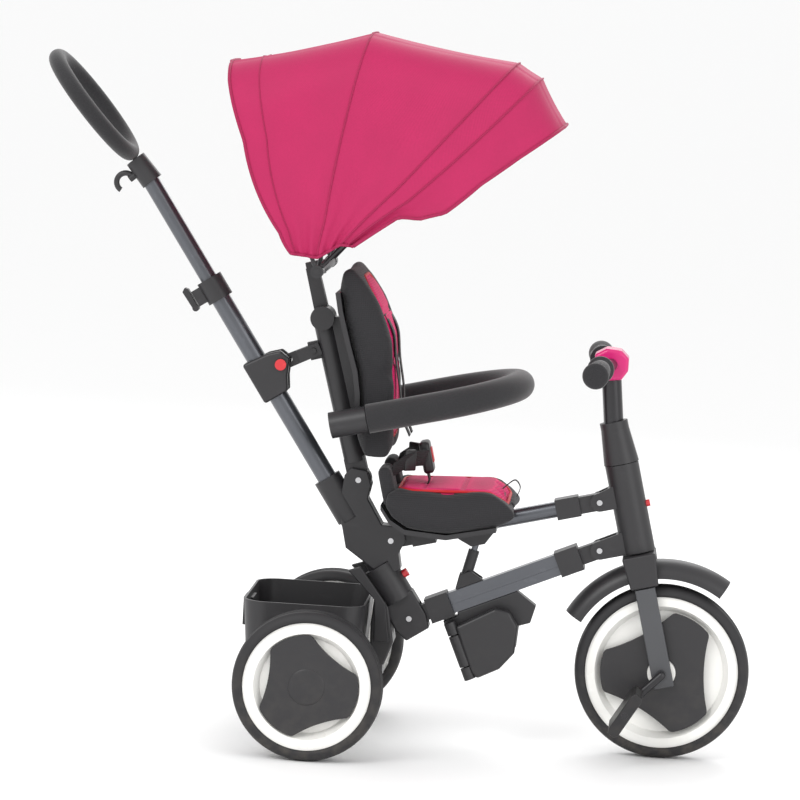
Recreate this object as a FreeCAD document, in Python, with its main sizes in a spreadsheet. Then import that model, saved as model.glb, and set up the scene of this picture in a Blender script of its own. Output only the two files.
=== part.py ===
import FreeCAD, Part

import math
import os
import re

import Sketcher
from FreeCAD import Vector

# A folding children's tricycle with a parent's push handle, a canopy and a safety bar.
# Millimetres. X runs forward, Y to the child's left and Z up from the ground.
# The origin is the middle of the overall box, on the ground.

SIZES = {
    # stance
    "front_axle_x": 403.6,
    "wheel_base": 487,
    "front_diameter": 248,
    "rear_diameter": 210,
    "tyre_width": 44,
    "rear_track": 415,
    "head_lean": 14.3,
    "pole_lean": 33.85,
    "post_lean": 15.6,
    # fits and walls
    "running_gap": 0.05,
    "seat_gap": 0.3,
    "cheek_wall": 6,
    "tongue_width": 20,
    "pin_radius": 4,
    # wheels
    "front_rim_radius": 110,
    "rear_rim_radius": 89,
    "rim_band": 15,
    "rim_width": 36,
    "disc_wall": 10,
    "front_lobe_radius": 87,
    "front_scallop_far": 300,
    "front_scallop_radius": 240,
    "rear_lobe_radius": 72,
    "rear_scallop_far": 228,
    "rear_scallop_radius": 174,
    "cover_wall": 5,
    "hub_radius": 20,
    "axle_radius": 6,
    # crank and pedals
    "crank_length": 67,
    "crank_angle": 45,
    "crank_plane": 46,
    "crank_rod_radius": 6,
    "pedal_length": 68,
    "pedal_thick": 17,
    "pedal_width": 72,
    "pedal_tilt": 59,
    # fork, mudguard and head
    "fork_gap": 56,
    "fork_wall": 8,
    "fork_blade": 29,
    "crown_low": 125,
    "crown_high": 172,
    "guard_radius": 135,
    "guard_width": 54,
    "guard_wall": 3,
    "head_radius": 24,
    "head_low": 174,
    "head_high": 302,
    "bush_radius": 17,
    "bush_length": 16,
    "steerer_radius": 12,
    "upper_bolt_up": 254.4,
    "upper_bolt_back": 40.4,
    "lower_bolt_up": 187,
    "lower_bolt_back": 53.5,
    "ear_radius": 13,
    # stem and handlebar
    "sleeve_high": 352,
    "collar_high": 363,
    "stem_radius": 14,
    "stem_lean": 5.9,
    "stem_length": 82,
    "bar_radius": 9,
    "bar_half_width": 180,
    "bar_straight": 30,
    "bar_sweep": 26,
    "grip_length": 96,
    "grip_radius": 17,
    # frame tubes and pivots, from the rear axle
    "upper_pivot_x": 92,
    "upper_pivot_z": 182,
    "lower_pivot_x": 124,
    "lower_pivot_z": 72,
    "recline_x": 41,
    "recline_z": 266,
    "tube_radius": 11.5,
    "tube_wall": 1.6,
    "lower_tube_high": 30,
    "lower_tube_wide": 20,
    "sleeve_start": 29,
    "sleeve_length": 34,
    # strut and footrest
    "strut_top_along": 121,
    "strut_foot_along": 97,
    "strut_foot_off": 14,
    "barrel_radius": 8,
    "barrel_length": 38,
    "rod_radius": 4.5,
    "plate_length": 78,
    "plate_drop": 88,
    "plate_wall": 16,
    "foot_hinge_radius": 8.5,
    "foot_hinge_y": 30,
    # rear structure
    "spine_radius": 17,
    "collar_radius": 24,
    "socket_radius": 20,
    "socket_low": 165,
    "socket_high": 232,
    "housing_reach": 176,
    "housing_thick": 34,
    "basket_length": 162,
    "basket_width": 224,
    "basket_depth": 75,
    "basket_wall": 3,
    "basket_floor": 128,
    "basket_back": -101,
    "basket_corner": 34,
    # push pole and handle
    "lower_pole_radius": 14,
    "upper_pole_radius": 12,
    "lower_pole_top": 548,
    "upper_pole_low": 372,
    "upper_pole_top": 733,
    "clamp_radius": 19,
    "stay_height": 402,
    "handle_extra_lean": 6.5,
    "handle_half_width": 79,
    "handle_half_length": 84,
    "handle_tube_radius": 12,
    # backrest
    "post_radius": 15.5,
    "post_length": 240,
    "back_half_width": 88,
    "pad_half_width": 88,
    "shell_wall": 7,
    # safety bar
    "bar_pivot_up": 92,
    "ring_radius": 112,
    "ring_tube_radius": 20.5,
    "ring_reach": 141,
    "ring_tilt": 13.7,
    "end_socket_radius": 18.5,
    "cross_bar_radius": 8,
    # seat
    "seat_half_width": 112,
    "seat_pan_wall": 7,
    # canopy
    "apex_up": 307,
    "apex_ahead": 17,
    "canopy_half_width": 132,
    "canopy_wall": 2.5,
    "bow_radius": 3,
    "bow_inset": 12,
    "open_pivot_play": 0.8,
    "stay_travel": 11,
    "saddle_start": 30,
    "saddle_length": 128,
    "apex_pin_radius": 5,
    "bow_eye_radius": 9,
    "rear_bow_angle": -26.5,
    "rear_bow_length": 313,
    "middle_bow_angle": 9.3,
    "middle_bow_length": 335,
    "front_bow_angle": 40.6,
    "front_bow_length": 394,
    "visor_bend_angle": 46.1,
    "visor_bend_length": 403,
    "visor_angle": 59.0,
    "visor_length": 392,
}

doc = FreeCAD.newDocument("Tricycle")
sheet = doc.addObject("Spreadsheet::Sheet", "Sizes")
for row, (alias, size) in enumerate(SIZES.items(), start=1):
    sheet.set(f"A{row}", alias)
    sheet.set(f"B{row}", str(size))
    sheet.setAlias(f"B{row}", alias)
doc.recompute()

layout = doc.addObject("App::FeaturePython", "Layout")
layout_names = []
exported = []


def bound(expression):
    """An expression with each size's own name pointed at its cell or at the layout."""
    def point_at(match):
        word = match.group(0)
        if word in SIZES:
            return "Sizes." + word
        return "Layout." + word if word in layout_names else word
    return re.sub(r"[A-Za-z_][A-Za-z_0-9]*", point_at, str(expression))


def number(expression):
    """What an expression comes to, in millimetres or degrees."""
    result = layout.evalExpression(bound(expression))
    return float(getattr(result, "Value", result))


def derive(name, expression):
    """A layout value that follows from the sizes."""
    layout.addProperty("App::PropertyFloat", name, "Layout")
    layout.setExpression(name, bound(expression))
    layout_names.append(name)
    doc.recompute()


def placement_text(x, y, z, axis, turn):
    centre = f"create(<<vector>>; {bound(x)}; {bound(y)}; {bound(z)})"
    about = {"x": "1; 0; 0", "y": "0; 1; 0", "z": "0; 0; 1"}[axis]
    spin = f"create(<<rotation>>; create(<<vector>>; {about}); {bound(turn)})"
    return f"create(<<placement>>; {centre}; {spin})"


def frame(name, x, z, lean):
    """A datum in the tricycle's middle plane, leaning back by an angle about Y."""
    datum = doc.addObject("App::Placement", name)
    datum.setExpression("Placement", placement_text(x, 0, z, "y", f"-({lean})"))
    doc.recompute()
    return datum


def put(piece, datum, x=0, y=0, z=0, axis="y", turn=0):
    """Places a piece in a datum's own axes, turned about one of them."""
    local = placement_text(x, y, z, axis, turn)
    text = f"{datum.Name}.Placement * {local}" if datum else local
    piece.setExpression("Placement", text)
    return piece


def bind(piece, **properties):
    for name, expression in properties.items():
        piece.setExpression(name, bound(expression))
    return piece


def cylinder(name, radius, length):
    return bind(doc.addObject("Part::Cylinder", name), Radius=radius, Height=length)


def cross_rod(name, datum, radius, width, x=0, z=0, y=0):
    """A cylinder along Y, centred on y."""
    rod = cylinder(name, radius, width)
    return put(rod, datum, x, f"({y}) + ({width}) / 2", z, "x", 90)


def block(name, datum, length, width, height, x=0, y=0, z=0):
    """A box centred on y, from x and z upwards."""
    piece = bind(doc.addObject("Part::Box", name), Length=length, Width=width, Height=height)
    return put(piece, datum, x, f"({y}) - ({width}) / 2", z)


def fuse(name, pieces):
    piece = doc.addObject("Part::MultiFuse", name)
    piece.Shapes = pieces
    piece.Refine = True
    return piece


def cut(name, base, tools):
    tool = tools[0] if len(tools) == 1 else fuse(name + "_tools", tools)
    piece = doc.addObject("Part::Cut", name)
    piece.Base = base
    piece.Tool = tool
    return piece


def group(name, pieces):
    """Several separate solids in one node."""
    piece = doc.addObject("Part::Compound", name)
    piece.Links = pieces
    return piece


def node(piece, label):
    piece.Label = label
    exported.append(piece)
    return piece


def body(name):
    return doc.addObject("PartDesign::Body", name)


def plane_of(owner, role):
    return [part for part in owner.Origin.OriginFeatures if part.Role == role][0]


def sketch(owner, role, name):
    drawing = owner.newObject("Sketcher::SketchObject", name)
    drawing.AttachmentSupport = [(plane_of(owner, role), "")]
    drawing.MapMode = "FlatFace"
    return drawing


def dimension(drawing, kind, index, point, expression):
    reference = Sketcher.Constraint(kind, -1, 1, index, point, number(expression))
    drawing.setExpression(f"Constraints[{drawing.addConstraint(reference)}]", bound(expression))


def polygon(owner, role, name, points):
    """A closed outline of straight lines whose corners are bound to expressions."""
    drawing = sketch(owner, role, name)
    corners = [Vector(number(x), number(y), 0) for x, y in points]
    count = len(points)
    for i in range(count):
        drawing.addGeometry(Part.LineSegment(corners[i], corners[(i + 1) % count]), False)
    for i in range(count):
        drawing.addConstraint(Sketcher.Constraint("Coincident", i, 2, (i + 1) % count, 1))
    for i, (x, y) in enumerate(points):
        dimension(drawing, "DistanceX", i, 1, x)
        dimension(drawing, "DistanceY", i, 1, y)
    return drawing


def circles(owner, role, name, rings):
    """Circles given as (x, y, radius) expressions."""
    drawing = sketch(owner, role, name)
    for i, (x, y, radius) in enumerate(rings):
        centre = Vector(number(x), number(y), 0)
        drawing.addGeometry(Part.Circle(centre, Vector(0, 0, 1), number(radius)), False)
        size = drawing.addConstraint(Sketcher.Constraint("Radius", i, number(radius)))
        drawing.setExpression(f"Constraints[{size}]", bound(radius))
        dimension(drawing, "DistanceX", i, 3, x)
        dimension(drawing, "DistanceY", i, 3, y)
    return drawing


def pad(owner, drawing, length):
    """Pads a sketch by a length, half to each side of its plane."""
    feature = owner.newObject("PartDesign::Pad", drawing.Name + "_pad")
    feature.Profile = drawing
    feature.SideType = "Symmetric"
    feature.setExpression("Length", bound(length))
    return feature


def plate(name, points, width, corner=None):
    """A slab of constant width across Y with an outline in its own XZ plane."""
    owner = body(name)
    feature = pad(owner, polygon(owner, "XZ_Plane", name + "_outline", points), width)
    if corner:
        doc.recompute()
        round_off(owner, feature, corner)
    return owner


def round_off(owner, feature, radius, chosen=None):
    """Fillets a feature's edges: all of them, or those that chosen picks."""
    rounding = owner.newObject("PartDesign::Fillet", feature.Name + "_round")
    names = [
        f"Edge{i}" for i, edge in enumerate(feature.Shape.Edges, start=1)
        if chosen is None or chosen(edge)
    ]
    rounding.Base = (feature, names)
    rounding.setExpression("Radius", bound(radius))
    doc.recompute()
    return rounding


def along_y(edge):
    """Straight edges that run across the piece."""
    first, last = edge.Vertexes[0].Point, edge.Vertexes[-1].Point
    return abs(last.y - first.y) > 0.9 * edge.Length > 0


def turned(name, points, role="YZ_Plane", axis="H_Axis"):
    """A ring or disc turned about its own Y axis from a half section of (y, radius)."""
    owner = body(name)
    drawing = polygon(owner, role, name + "_section", points)
    feature = owner.newObject("PartDesign::Revolution", name + "_turn")
    feature.Profile = drawing
    feature.ReferenceAxis = (drawing, [axis])
    feature.Angle = 360
    return owner


# ---------------------------------------------------------------- layout
derive("rear_axle_x", "front_axle_x - wheel_base")
derive("front_radius", "front_diameter / 2")
derive("rear_radius", "rear_diameter / 2")
derive("a_x", "rear_axle_x + upper_pivot_x")
derive("a_z", "rear_radius + upper_pivot_z")
derive("b_x", "rear_axle_x + lower_pivot_x")
derive("b_z", "rear_radius + lower_pivot_z")
derive("c_x", "front_axle_x - upper_bolt_up * sin(head_lean) - upper_bolt_back * cos(head_lean)")
derive("c_z", "front_radius + upper_bolt_up * cos(head_lean) - upper_bolt_back * sin(head_lean)")
derive("d_x", "front_axle_x - lower_bolt_up * sin(head_lean) - lower_bolt_back * cos(head_lean)")
derive("d_z", "front_radius + lower_bolt_up * cos(head_lean) - lower_bolt_back * sin(head_lean)")
derive("upper_slope", "atan((c_z - a_z) / (c_x - a_x))")
derive("upper_length", "sqrt((c_x - a_x)^2 + (c_z - a_z)^2)")
derive("lower_slope", "atan((d_z - b_z) / (d_x - b_x))")
derive("lower_length", "sqrt((d_x - b_x)^2 + (d_z - b_z)^2)")
derive("recline_at_x", "rear_axle_x + recline_x")
derive("recline_at_z", "rear_radius + recline_z")
derive("apex_x", "recline_at_x - apex_up * sin(post_lean) + apex_ahead * cos(post_lean)")
derive("apex_z", "recline_at_z + apex_up * cos(post_lean) + apex_ahead * sin(post_lean)")
derive("bar_x", "recline_at_x - bar_pivot_up * sin(post_lean)")
derive("bar_z", "recline_at_z + bar_pivot_up * cos(post_lean)")

ground = frame("GroundDatum", 0, 0, 0)
rear_axle = frame("RearAxleDatum", "rear_axle_x", "rear_radius", 0)
steer = frame("SteerDatum", "front_axle_x", "front_radius", "head_lean")
upper = frame("UpperTubeDatum", "a_x", "a_z", "upper_slope")
lower = frame("LowerTubeDatum", "b_x", "b_z", "lower_slope")
pole = frame("PoleDatum", "b_x", "b_z", "pole_lean")
post = frame("PostDatum", "recline_at_x", "recline_at_z", "post_lean")
stem = frame(
    "StemDatum",
    "front_axle_x - collar_high * sin(head_lean)",
    "front_radius + collar_high * cos(head_lean)",
    "stem_lean",
)
handle = frame(
    "HandleDatum",
    "b_x - upper_pole_top * sin(pole_lean)",
    "b_z + upper_pole_top * cos(pole_lean)",
    "pole_lean + handle_extra_lean",
)
bar = frame("SafetyBarDatum", "bar_x", "bar_z", "ring_tilt")
apex = frame("ApexDatum", "apex_x", "apex_z", 0)


# ---------------------------------------------------------------- wheels
def tyre(label, datum, radius, rim_radius, y):
    half = "tyre_width / 2"
    seat = f"{rim_radius} + seat_gap"
    piece = turned(label, [
        (f"-({half})", seat), (f"-({half})", f"{radius} - 11"), (f"-({half}) + 6", f"{radius} - 3"),
        (f"-({half}) + 14", radius), (f"({half}) - 14", radius), (f"({half}) - 6", f"{radius} - 3"),
        (half, f"{radius} - 11"), (half, seat),
    ])
    return node(put(piece, datum, 0, y, 0), label)


def rim(label, datum, rim_radius, y, bore, hub_half):
    half = "rim_width / 2"
    inner = f"{rim_radius} - rim_band"
    piece = turned(label, [
        (f"-({half})", rim_radius), (f"-({half})", inner), ("-disc_wall / 2", f"{inner} - 8"),
        ("-disc_wall / 2", "hub_radius"), (f"-({hub_half})", "hub_radius"),
        (f"-({hub_half})", bore), (hub_half, bore), (hub_half, "hub_radius"),
        ("disc_wall / 2", "hub_radius"), ("disc_wall / 2", f"{inner} - 8"),
        (half, inner), (half, rim_radius),
    ])
    return node(put(piece, datum, 0, y, 0), label)


def lobed_cover(name, datum, lobe, far, scallop, y, bore, turn):
    """A three-lobed plate: a disc with three shallow scallops taken out of it."""
    owner = body(name)
    disc = circles(owner, "XZ_Plane", name + "_disc", [(0, 0, lobe), (0, 0, bore)])
    pad(owner, disc, "cover_wall")
    bite = circles(owner, "XZ_Plane", name + "_bite", [(far, 0, scallop)])
    pocket = owner.newObject("PartDesign::Pocket", name + "_pocket")
    pocket.Profile = bite
    pocket.SideType = "Symmetric"
    pocket.Type = "ThroughAll"
    around = owner.newObject("PartDesign::PolarPattern", name + "_around")
    around.Originals = [pocket]
    around.Axis = (disc, ["N_Axis"])
    around.Angle = 360
    around.Occurrences = 3
    owner.Tip = around
    doc.recompute()
    round_off(owner, around, 9, lambda e: along_y(e) and e.Vertexes[0].Point.Length > number(lobe) / 2)
    return put(owner, datum, 0, y, 0, "y", turn)


tyre("front_tyre", steer, "front_radius", "front_rim_radius", 0)
rim("front_rim", steer, "front_rim_radius", 0, "crank_rod_radius + seat_gap", "fork_gap / 2 - 2")
front_cover_y = "rim_width / 2 + cover_wall / 2 - 3"
front_covers = [
    lobed_cover(f"FrontCover{name}", steer, "front_lobe_radius", "front_scallop_far",
                "front_scallop_radius", f"{side} * ({front_cover_y})",
                "hub_radius + seat_gap", "-2 + head_lean")
    for name, side in (("Right", -1), ("Left", 1))
]
node(group("FrontCovers", front_covers), "front_wheel_covers")

SIDES = {"right": -1, "left": 1}
for side_name, side in SIDES.items():
    wheel_y = f"{side} * rear_track / 2"
    tyre(f"rear_tyre_{side_name}", rear_axle, "rear_radius", "rear_rim_radius", wheel_y)
    rim(f"rear_rim_{side_name}", rear_axle, "rear_rim_radius", wheel_y,
        "axle_radius + running_gap", "tyre_width / 2 - 2")
    cover_y = f"{side} * (rear_track / 2 + rim_width / 2 + cover_wall / 2 - 3)"
    node(
        lobed_cover(f"RearCover{side_name}", rear_axle, "rear_lobe_radius", "rear_scallop_far",
                    "rear_scallop_radius", cover_y, "hub_radius + seat_gap", -52),
        f"rear_cover_{side_name}",
    )

# ---------------------------------------------------------------- crank and pedals
crank_parts = [cross_rod("CrankAxle", steer, "crank_rod_radius", "2 * crank_plane")]
pedal_pins = {}
for side_name, side in SIDES.items():
    # The right crank points down and back, the left one up and forward.
    across = f"{side} * crank_length * cos(crank_angle - head_lean)"
    height = f"{side} * crank_length * sin(crank_angle - head_lean)"
    arm = cylinder(f"CrankArm{side_name}", "crank_rod_radius", "crank_length")
    turn = f"90 - (crank_angle - head_lean) + {90 - 90 * side}"
    put(arm, steer, 0, f"{side} * crank_plane", 0, "y", turn)
    pin_width = "pedal_width + 8"
    pin = cross_rod(f"PedalPin{side_name}", steer, "crank_rod_radius - 1.5", pin_width,
                    across, height, f"{side} * (crank_plane + ({pin_width}) / 2)")
    elbows = []
    for place, (x, z) in {"Hub": (0, 0), "Pin": (across, height)}.items():
        ball = bind(doc.addObject("Part::Sphere", f"Elbow{place}{side_name}"), Radius="crank_rod_radius")
        elbows.append(put(ball, steer, x, f"{side} * crank_plane", z))
    crank_parts += [arm, pin] + elbows
    pedal_pins[side_name] = (across, height)
node(fuse("Crank", crank_parts), "crank_axle")

for side_name, side in SIDES.items():
    x, z = pedal_pins[side_name]
    y = f"{side} * (crank_plane + crank_rod_radius + 2 + pedal_width / 2)"
    half_long = "pedal_length / 2"
    half_thick = "pedal_thick / 2"
    tread = plate(f"PedalBlock{side_name}", [
        (f"-({half_long})", f"-({half_thick}) + 3"), (f"-({half_long}) + 6", f"-({half_thick})"),
        (f"({half_long}) - 6", f"-({half_thick})"), (half_long, f"-({half_thick}) + 3"),
        (half_long, f"({half_thick}) - 3"), (f"({half_long}) - 6", half_thick),
        (f"-({half_long}) + 6", half_thick), (f"-({half_long})", f"({half_thick}) - 3"),
    ], "pedal_width", 1.5)
    put(tread, steer, x, y, z, "y", "-pedal_tilt + head_lean")
    hole = cross_rod(f"PedalBore{side_name}", steer, "crank_rod_radius - 1.5 + running_gap",
                     "pedal_width + 4", x, z, y)
    node(cut(f"Pedal{side_name}", tread, [hole]), f"pedal_{side_name}")

# ---------------------------------------------------------------- fork, mudguard, steerer
legs = []
for side_name, side in SIDES.items():
    y = f"{side} * (fork_gap + fork_wall) / 2"
    leg = plate(f"ForkLeg{side_name}", [
        ("-fork_blade / 2", -20), ("fork_blade / 2", -20),
        ("fork_blade / 2", "crown_low - 1"), ("-fork_blade / 2", "crown_low - 1"),
    ], "fork_wall", 2)
    put(leg, steer, 0, y, 0)
    hole = cross_rod(f"ForkBore{side_name}", steer, "crank_rod_radius + running_gap",
                     "fork_wall + 4", 0, 0, y)
    legs.append(cut(f"ForkLegCut{side_name}", leg, [hole]))
node(group("ForkLegs", legs), "fork_legs")

crown_width = "fork_gap + 2 * fork_wall + 4"
crown_block = plate("CrownBlock", [
    (-20, "crown_low"), (20, "crown_low"), (22, "crown_low + 22"), (24, "crown_high - 4"),
    (24, "crown_high"), (-24, "crown_high"), (-24, "crown_high - 4"), (-22, "crown_low + 22"),
], crown_width, 3)
put(crown_block, steer)
crown_slot = block("CrownSlot", steer, 80, "fork_gap", "guard_radius + guard_width / 2 + 4 - crown_low + 20",
                   -40, 0, "crown_low - 20")
node(cut("Crown", crown_block, [crown_slot]), "fork_crown")


def mudguard():
    """An arched strip bent round the wheel, from the front tip to the rear tip."""
    axis = Vector(0, 1, 0)
    front_angle, rear_angle = 56, 151
    half = number("guard_width / 2")
    wall = number("guard_wall")
    low = number("guard_radius")
    rise = half * 0.95
    outline = [
        Vector(low, -half, 0), Vector(low + rise * 0.62, -half * 0.8, 0), Vector(low + rise, 0, 0),
        Vector(low + rise * 0.62, half * 0.8, 0), Vector(low, half, 0),
    ]
    inner = [
        Vector(low, half - wall, 0), Vector(low + rise * 0.62 - wall * 0.6, half * 0.8 - wall * 0.8, 0),
        Vector(low + rise - wall, 0, 0),
        Vector(low + rise * 0.62 - wall * 0.6, -half * 0.8 + wall * 0.8, 0), Vector(low, -half + wall, 0),
    ]
    over = Part.BSplineCurve()
    over.interpolate(outline)
    under = Part.BSplineCurve()
    under.interpolate(inner)
    edges = [
        over.toShape(), Part.makeLine(outline[-1], inner[0]),
        under.toShape(), Part.makeLine(inner[-1], outline[0]),
    ]
    section = Part.Face(Part.Wire(edges))
    section.rotate(Vector(), axis, -front_angle)
    return section.revolve(Vector(), axis, front_angle - rear_angle)


guard = doc.addObject("Part::Feature", "Mudguard")
guard.Shape = mudguard()
guard.Placement = FreeCAD.Placement(
    Vector(number("front_axle_x"), 0, number("front_radius")), FreeCAD.Rotation()
)
node(guard, "mudguard")

steerer = cylinder("Steerer", "steerer_radius", "sleeve_high - crown_high - 6")
put(steerer, steer, 0, 0, "crown_high")

head_barrel = put(cylinder("HeadBarrel", "head_radius", "head_high - head_low"), steer, 0, 0, "head_low")
ear_width = "tongue_width + 2 * cheek_wall"
ears = []
for level in ("upper", "lower"):
    up, back = f"{level}_bolt_up", f"{level}_bolt_back"
    ear = plate(f"HeadEar{level}", [
        (-14, f"{up} - ear_radius"), (-14, f"{up} + 20"), (f"-{back}", f"{up} + ear_radius"),
        (f"-{back}", f"{up} - ear_radius"),
    ], ear_width, None)
    ears += [put(ear, steer), cross_rod(f"HeadEarEnd{level}", steer, "ear_radius", ear_width, f"-{back}", up)]
head_solid = fuse("HeadSolid", [head_barrel] + ears)
head_cuts = [put(cylinder("HeadBore", "bush_radius", "head_high - head_low + 2"), steer, 0, 0, "head_low - 1")]
for level in ("upper", "lower"):
    up, back = f"{level}_bolt_up", f"{level}_bolt_back"
    slot = block(f"HeadSlot{level}", steer, f"{back} + ear_radius - head_radius", "tongue_width + 2 * seat_gap",
                 70, f"-{back} - ear_radius - 2", 0, f"{up} - 35")
    bore = cross_rod(f"HeadBoltBore{level}", steer, "pin_radius + running_gap", f"{ear_width} + 4", f"-{back}", up)
    head_cuts += [slot, bore]
lock_bore = cylinder("LockBore", "5 + running_gap", 30)
put(lock_bore, steer, 10, 0, "head_low + 66", "y", 90)
node(cut("HeadTube", head_solid, head_cuts + [lock_bore]), "head_tube")

bushes = []
for name, z in (("Low", "head_low"), ("High", "head_high - bush_length")):
    shell = put(cylinder(f"Bush{name}", "bush_radius - running_gap", "bush_length"), steer, 0, 0, z)
    bore = put(cylinder(f"BushBore{name}", "steerer_radius + running_gap", "bush_length + 4"), steer, 0, 0, f"{z} - 2")
    bushes.append(cut(f"BushRing{name}", shell, [bore]))
node(group("Bushes", bushes), "steering_bushes")

lock_button = cylinder("LockButton", 5, 10)
put(lock_button, steer, "head_radius - 5", 0, "head_low + 66", "y", 90)
node(lock_button, "steering_lock_button")

# ---------------------------------------------------------------- stem and handlebar
sleeve = bind(doc.addObject("Part::Cone", "StemSleeve"), Radius1="head_radius + 1", Radius2="20",
              Height="sleeve_high - head_high - 1")
put(sleeve, steer, 0, 0, "head_high + 1")
stem_collar = put(cylinder("StemCollar", 20, "collar_high - sleeve_high"), steer, 0, 0, "sleeve_high")
sleeve_solid = fuse("StemSleeveSolid", [sleeve, stem_collar])
stem_tube = put(cylinder("StemTube", "stem_radius", "stem_length + 14"), stem, 0, 0, -30)
stem_room = put(cylinder("StemRoom", "stem_radius + running_gap", "stem_length + 40"), stem, 0, 0, -31)
sleeve_bore = put(cylinder("SleeveBore", "steerer_radius + running_gap", 60), steer, 0, 0, "head_high - 1")
node(cut("StemSleeveCut", sleeve_solid, [sleeve_bore, stem_room]), "stem_sleeve")
node(fuse("Stem", [steerer, stem_tube]), "steerer_and_stem")


derive("grip_run", "sqrt((bar_half_width - bar_straight)^2 + bar_sweep^2)")
derive("sweep_angle", "atan(bar_sweep / (bar_half_width - bar_straight))")
bar_middle = cross_rod("BarMiddle", stem, "bar_radius", "2 * bar_straight", 0, "stem_length")
bar_parts = [bar_middle]
grips = {}
for side_name, side in SIDES.items():
    reach = cylinder(f"BarReach{side_name}", "bar_radius", "grip_run - 4")
    elbow = bind(doc.addObject("Part::Sphere", f"BarElbow{side_name}"), Radius="bar_radius")
    put(elbow, stem, 0, f"{side} * bar_straight", "stem_length")
    swing = doc.addObject("App::Placement", f"GripDatum{side_name}")
    base = f"StemDatum.Placement * {placement_text(0, f'{side} * bar_straight', 'stem_length', 'x', -90 * side)}"
    swing.setExpression("Placement", f"{base} * {placement_text(0, 0, 0, 'y', '-sweep_angle')}")
    doc.recompute()
    put(reach, swing)
    bar_parts += [reach, elbow]
    grips[side_name] = swing
node(fuse("Handlebar", bar_parts), "handlebar")

grip_pieces = []
for side_name, swing in grips.items():
    grip = bind(doc.addObject("Part::Cone", f"Grip{side_name}"), Radius1="grip_radius - 2",
                Radius2="grip_radius", Height="grip_length")
    put(grip, swing, 0, 0, "grip_run - grip_length + 2")
    bore = put(cylinder(f"GripBore{side_name}", "bar_radius + running_gap", "grip_length - 4"), swing,
               0, 0, "grip_run - grip_length")
    grip_pieces.append(cut(f"GripCut{side_name}", grip, [bore]))
node(group("Grips", grip_pieces), "handlebar_grips")

cover = plate("BarCoverBlock", [
    (-22, -16), (-14, -22), (14, -22), (24, -10), (26, 8), (16, 20), (-4, 24), (-22, 16),
], 44, 5)
put(cover, stem, 0, 0, "stem_length")
cover_bores = [
    cross_rod("BarCoverBore", stem, "bar_radius + seat_gap", 60, 0, "stem_length"),
    put(cylinder("BarCoverStemBore", "stem_radius + seat_gap", 30), stem, 0, 0, "stem_length - 40"),
]
node(cut("BarCover", cover, cover_bores), "handlebar_cover")

# ---------------------------------------------------------------- frame tubes
upper_outer = put(cylinder("UpperOuter", "tube_radius", "upper_length - 2 * sleeve_start - 4"), upper,
                  "sleeve_start + 2", 0, 0, "y", 90)
upper_inner = put(cylinder("UpperInner", "tube_radius - tube_wall", "upper_length"), upper, 0, 0, 0, "y", 90)
node(cut("UpperTube", upper_outer, [upper_inner]), "upper_tube")

lower_shell = plate("LowerShell", [
    ("sleeve_start + 2", "-lower_tube_high / 2"), ("lower_length - sleeve_start - 2", "-lower_tube_high / 2"),
    ("lower_length - sleeve_start - 2", "lower_tube_high / 2"), ("sleeve_start + 2", "lower_tube_high / 2"),
], "lower_tube_wide", None)
put(lower_shell, lower)
lower_core = block("LowerCore", lower, "lower_length", "lower_tube_wide - 2 * tube_wall",
                   "lower_tube_high - 2 * tube_wall", 0, 0, "-lower_tube_high / 2 + tube_wall")
groove_tools = [lower_core]
for side_name, side in SIDES.items():
    groove_tools.append(block(f"LowerGroove{side_name}", lower, "lower_length", 2, 5, 0,
                              f"{side} * lower_tube_wide / 2", -2.5))
node(cut("LowerTube", lower_shell, groove_tools), "lower_tube")


def tube_end(name, datum, length_name, at_front, half_high):
    """A plastic end piece: a sleeve on the tube and a tongue that takes the bolt."""
    start = f"{length_name} - sleeve_start - sleeve_length" if at_front else "sleeve_start"
    pivot = length_name if at_front else 0
    outer = block(f"{name}Outer", datum, "sleeve_length", f"2 * ({half_high}) + 6",
                  f"2 * ({half_high}) + 6", start, 0, f"-({half_high}) - 3")
    reach = "sleeve_start + 1.5"
    tongue = block(f"{name}Tongue", datum, reach, "tongue_width", "2 * (ear_radius - 1)",
                   f"({pivot}) - ({reach})" if at_front else 0, 0, "-(ear_radius - 1)")
    eye = cross_rod(f"{name}Eye", datum, "ear_radius - 1", "tongue_width", pivot)
    solid = fuse(f"{name}Solid", [outer, tongue, eye])
    play = "open_pivot_play" if name == "UpperFront" else "running_gap"
    bore = cross_rod(f"{name}Bore", datum, f"pin_radius + {play}", "tongue_width + 4", pivot)
    return solid, bore


upper_ends = []
for name, at_front in (("UpperRear", False), ("UpperFront", True)):
    solid, bore = tube_end(name, upper, "upper_length", at_front, "tube_radius")
    length = "upper_length - 2 * (sleeve_start + 2 - seat_gap)"
    room = put(cylinder(f"{name}Room", "tube_radius + seat_gap", length), upper,
               "sleeve_start + 2 - seat_gap", 0, 0, "y", 90)
    upper_ends.append(cut(name, solid, [bore, room]))
node(group("UpperEnds", upper_ends), "upper_tube_ends")

lower_ends = []
for name, at_front in (("LowerRear", False), ("LowerFront", True)):
    solid, bore = tube_end(name, lower, "lower_length", at_front, "lower_tube_high / 2")
    room = block(f"{name}Room", lower, "lower_length - 2 * (sleeve_start + 2 - seat_gap)",
                 "lower_tube_wide + 2 * seat_gap", "lower_tube_high + 2 * seat_gap",
                 "sleeve_start + 2 - seat_gap", 0, "-lower_tube_high / 2 - seat_gap")
    lower_ends.append(cut(name, solid, [bore, room]))
node(group("LowerEnds", lower_ends), "lower_tube_ends")

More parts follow.
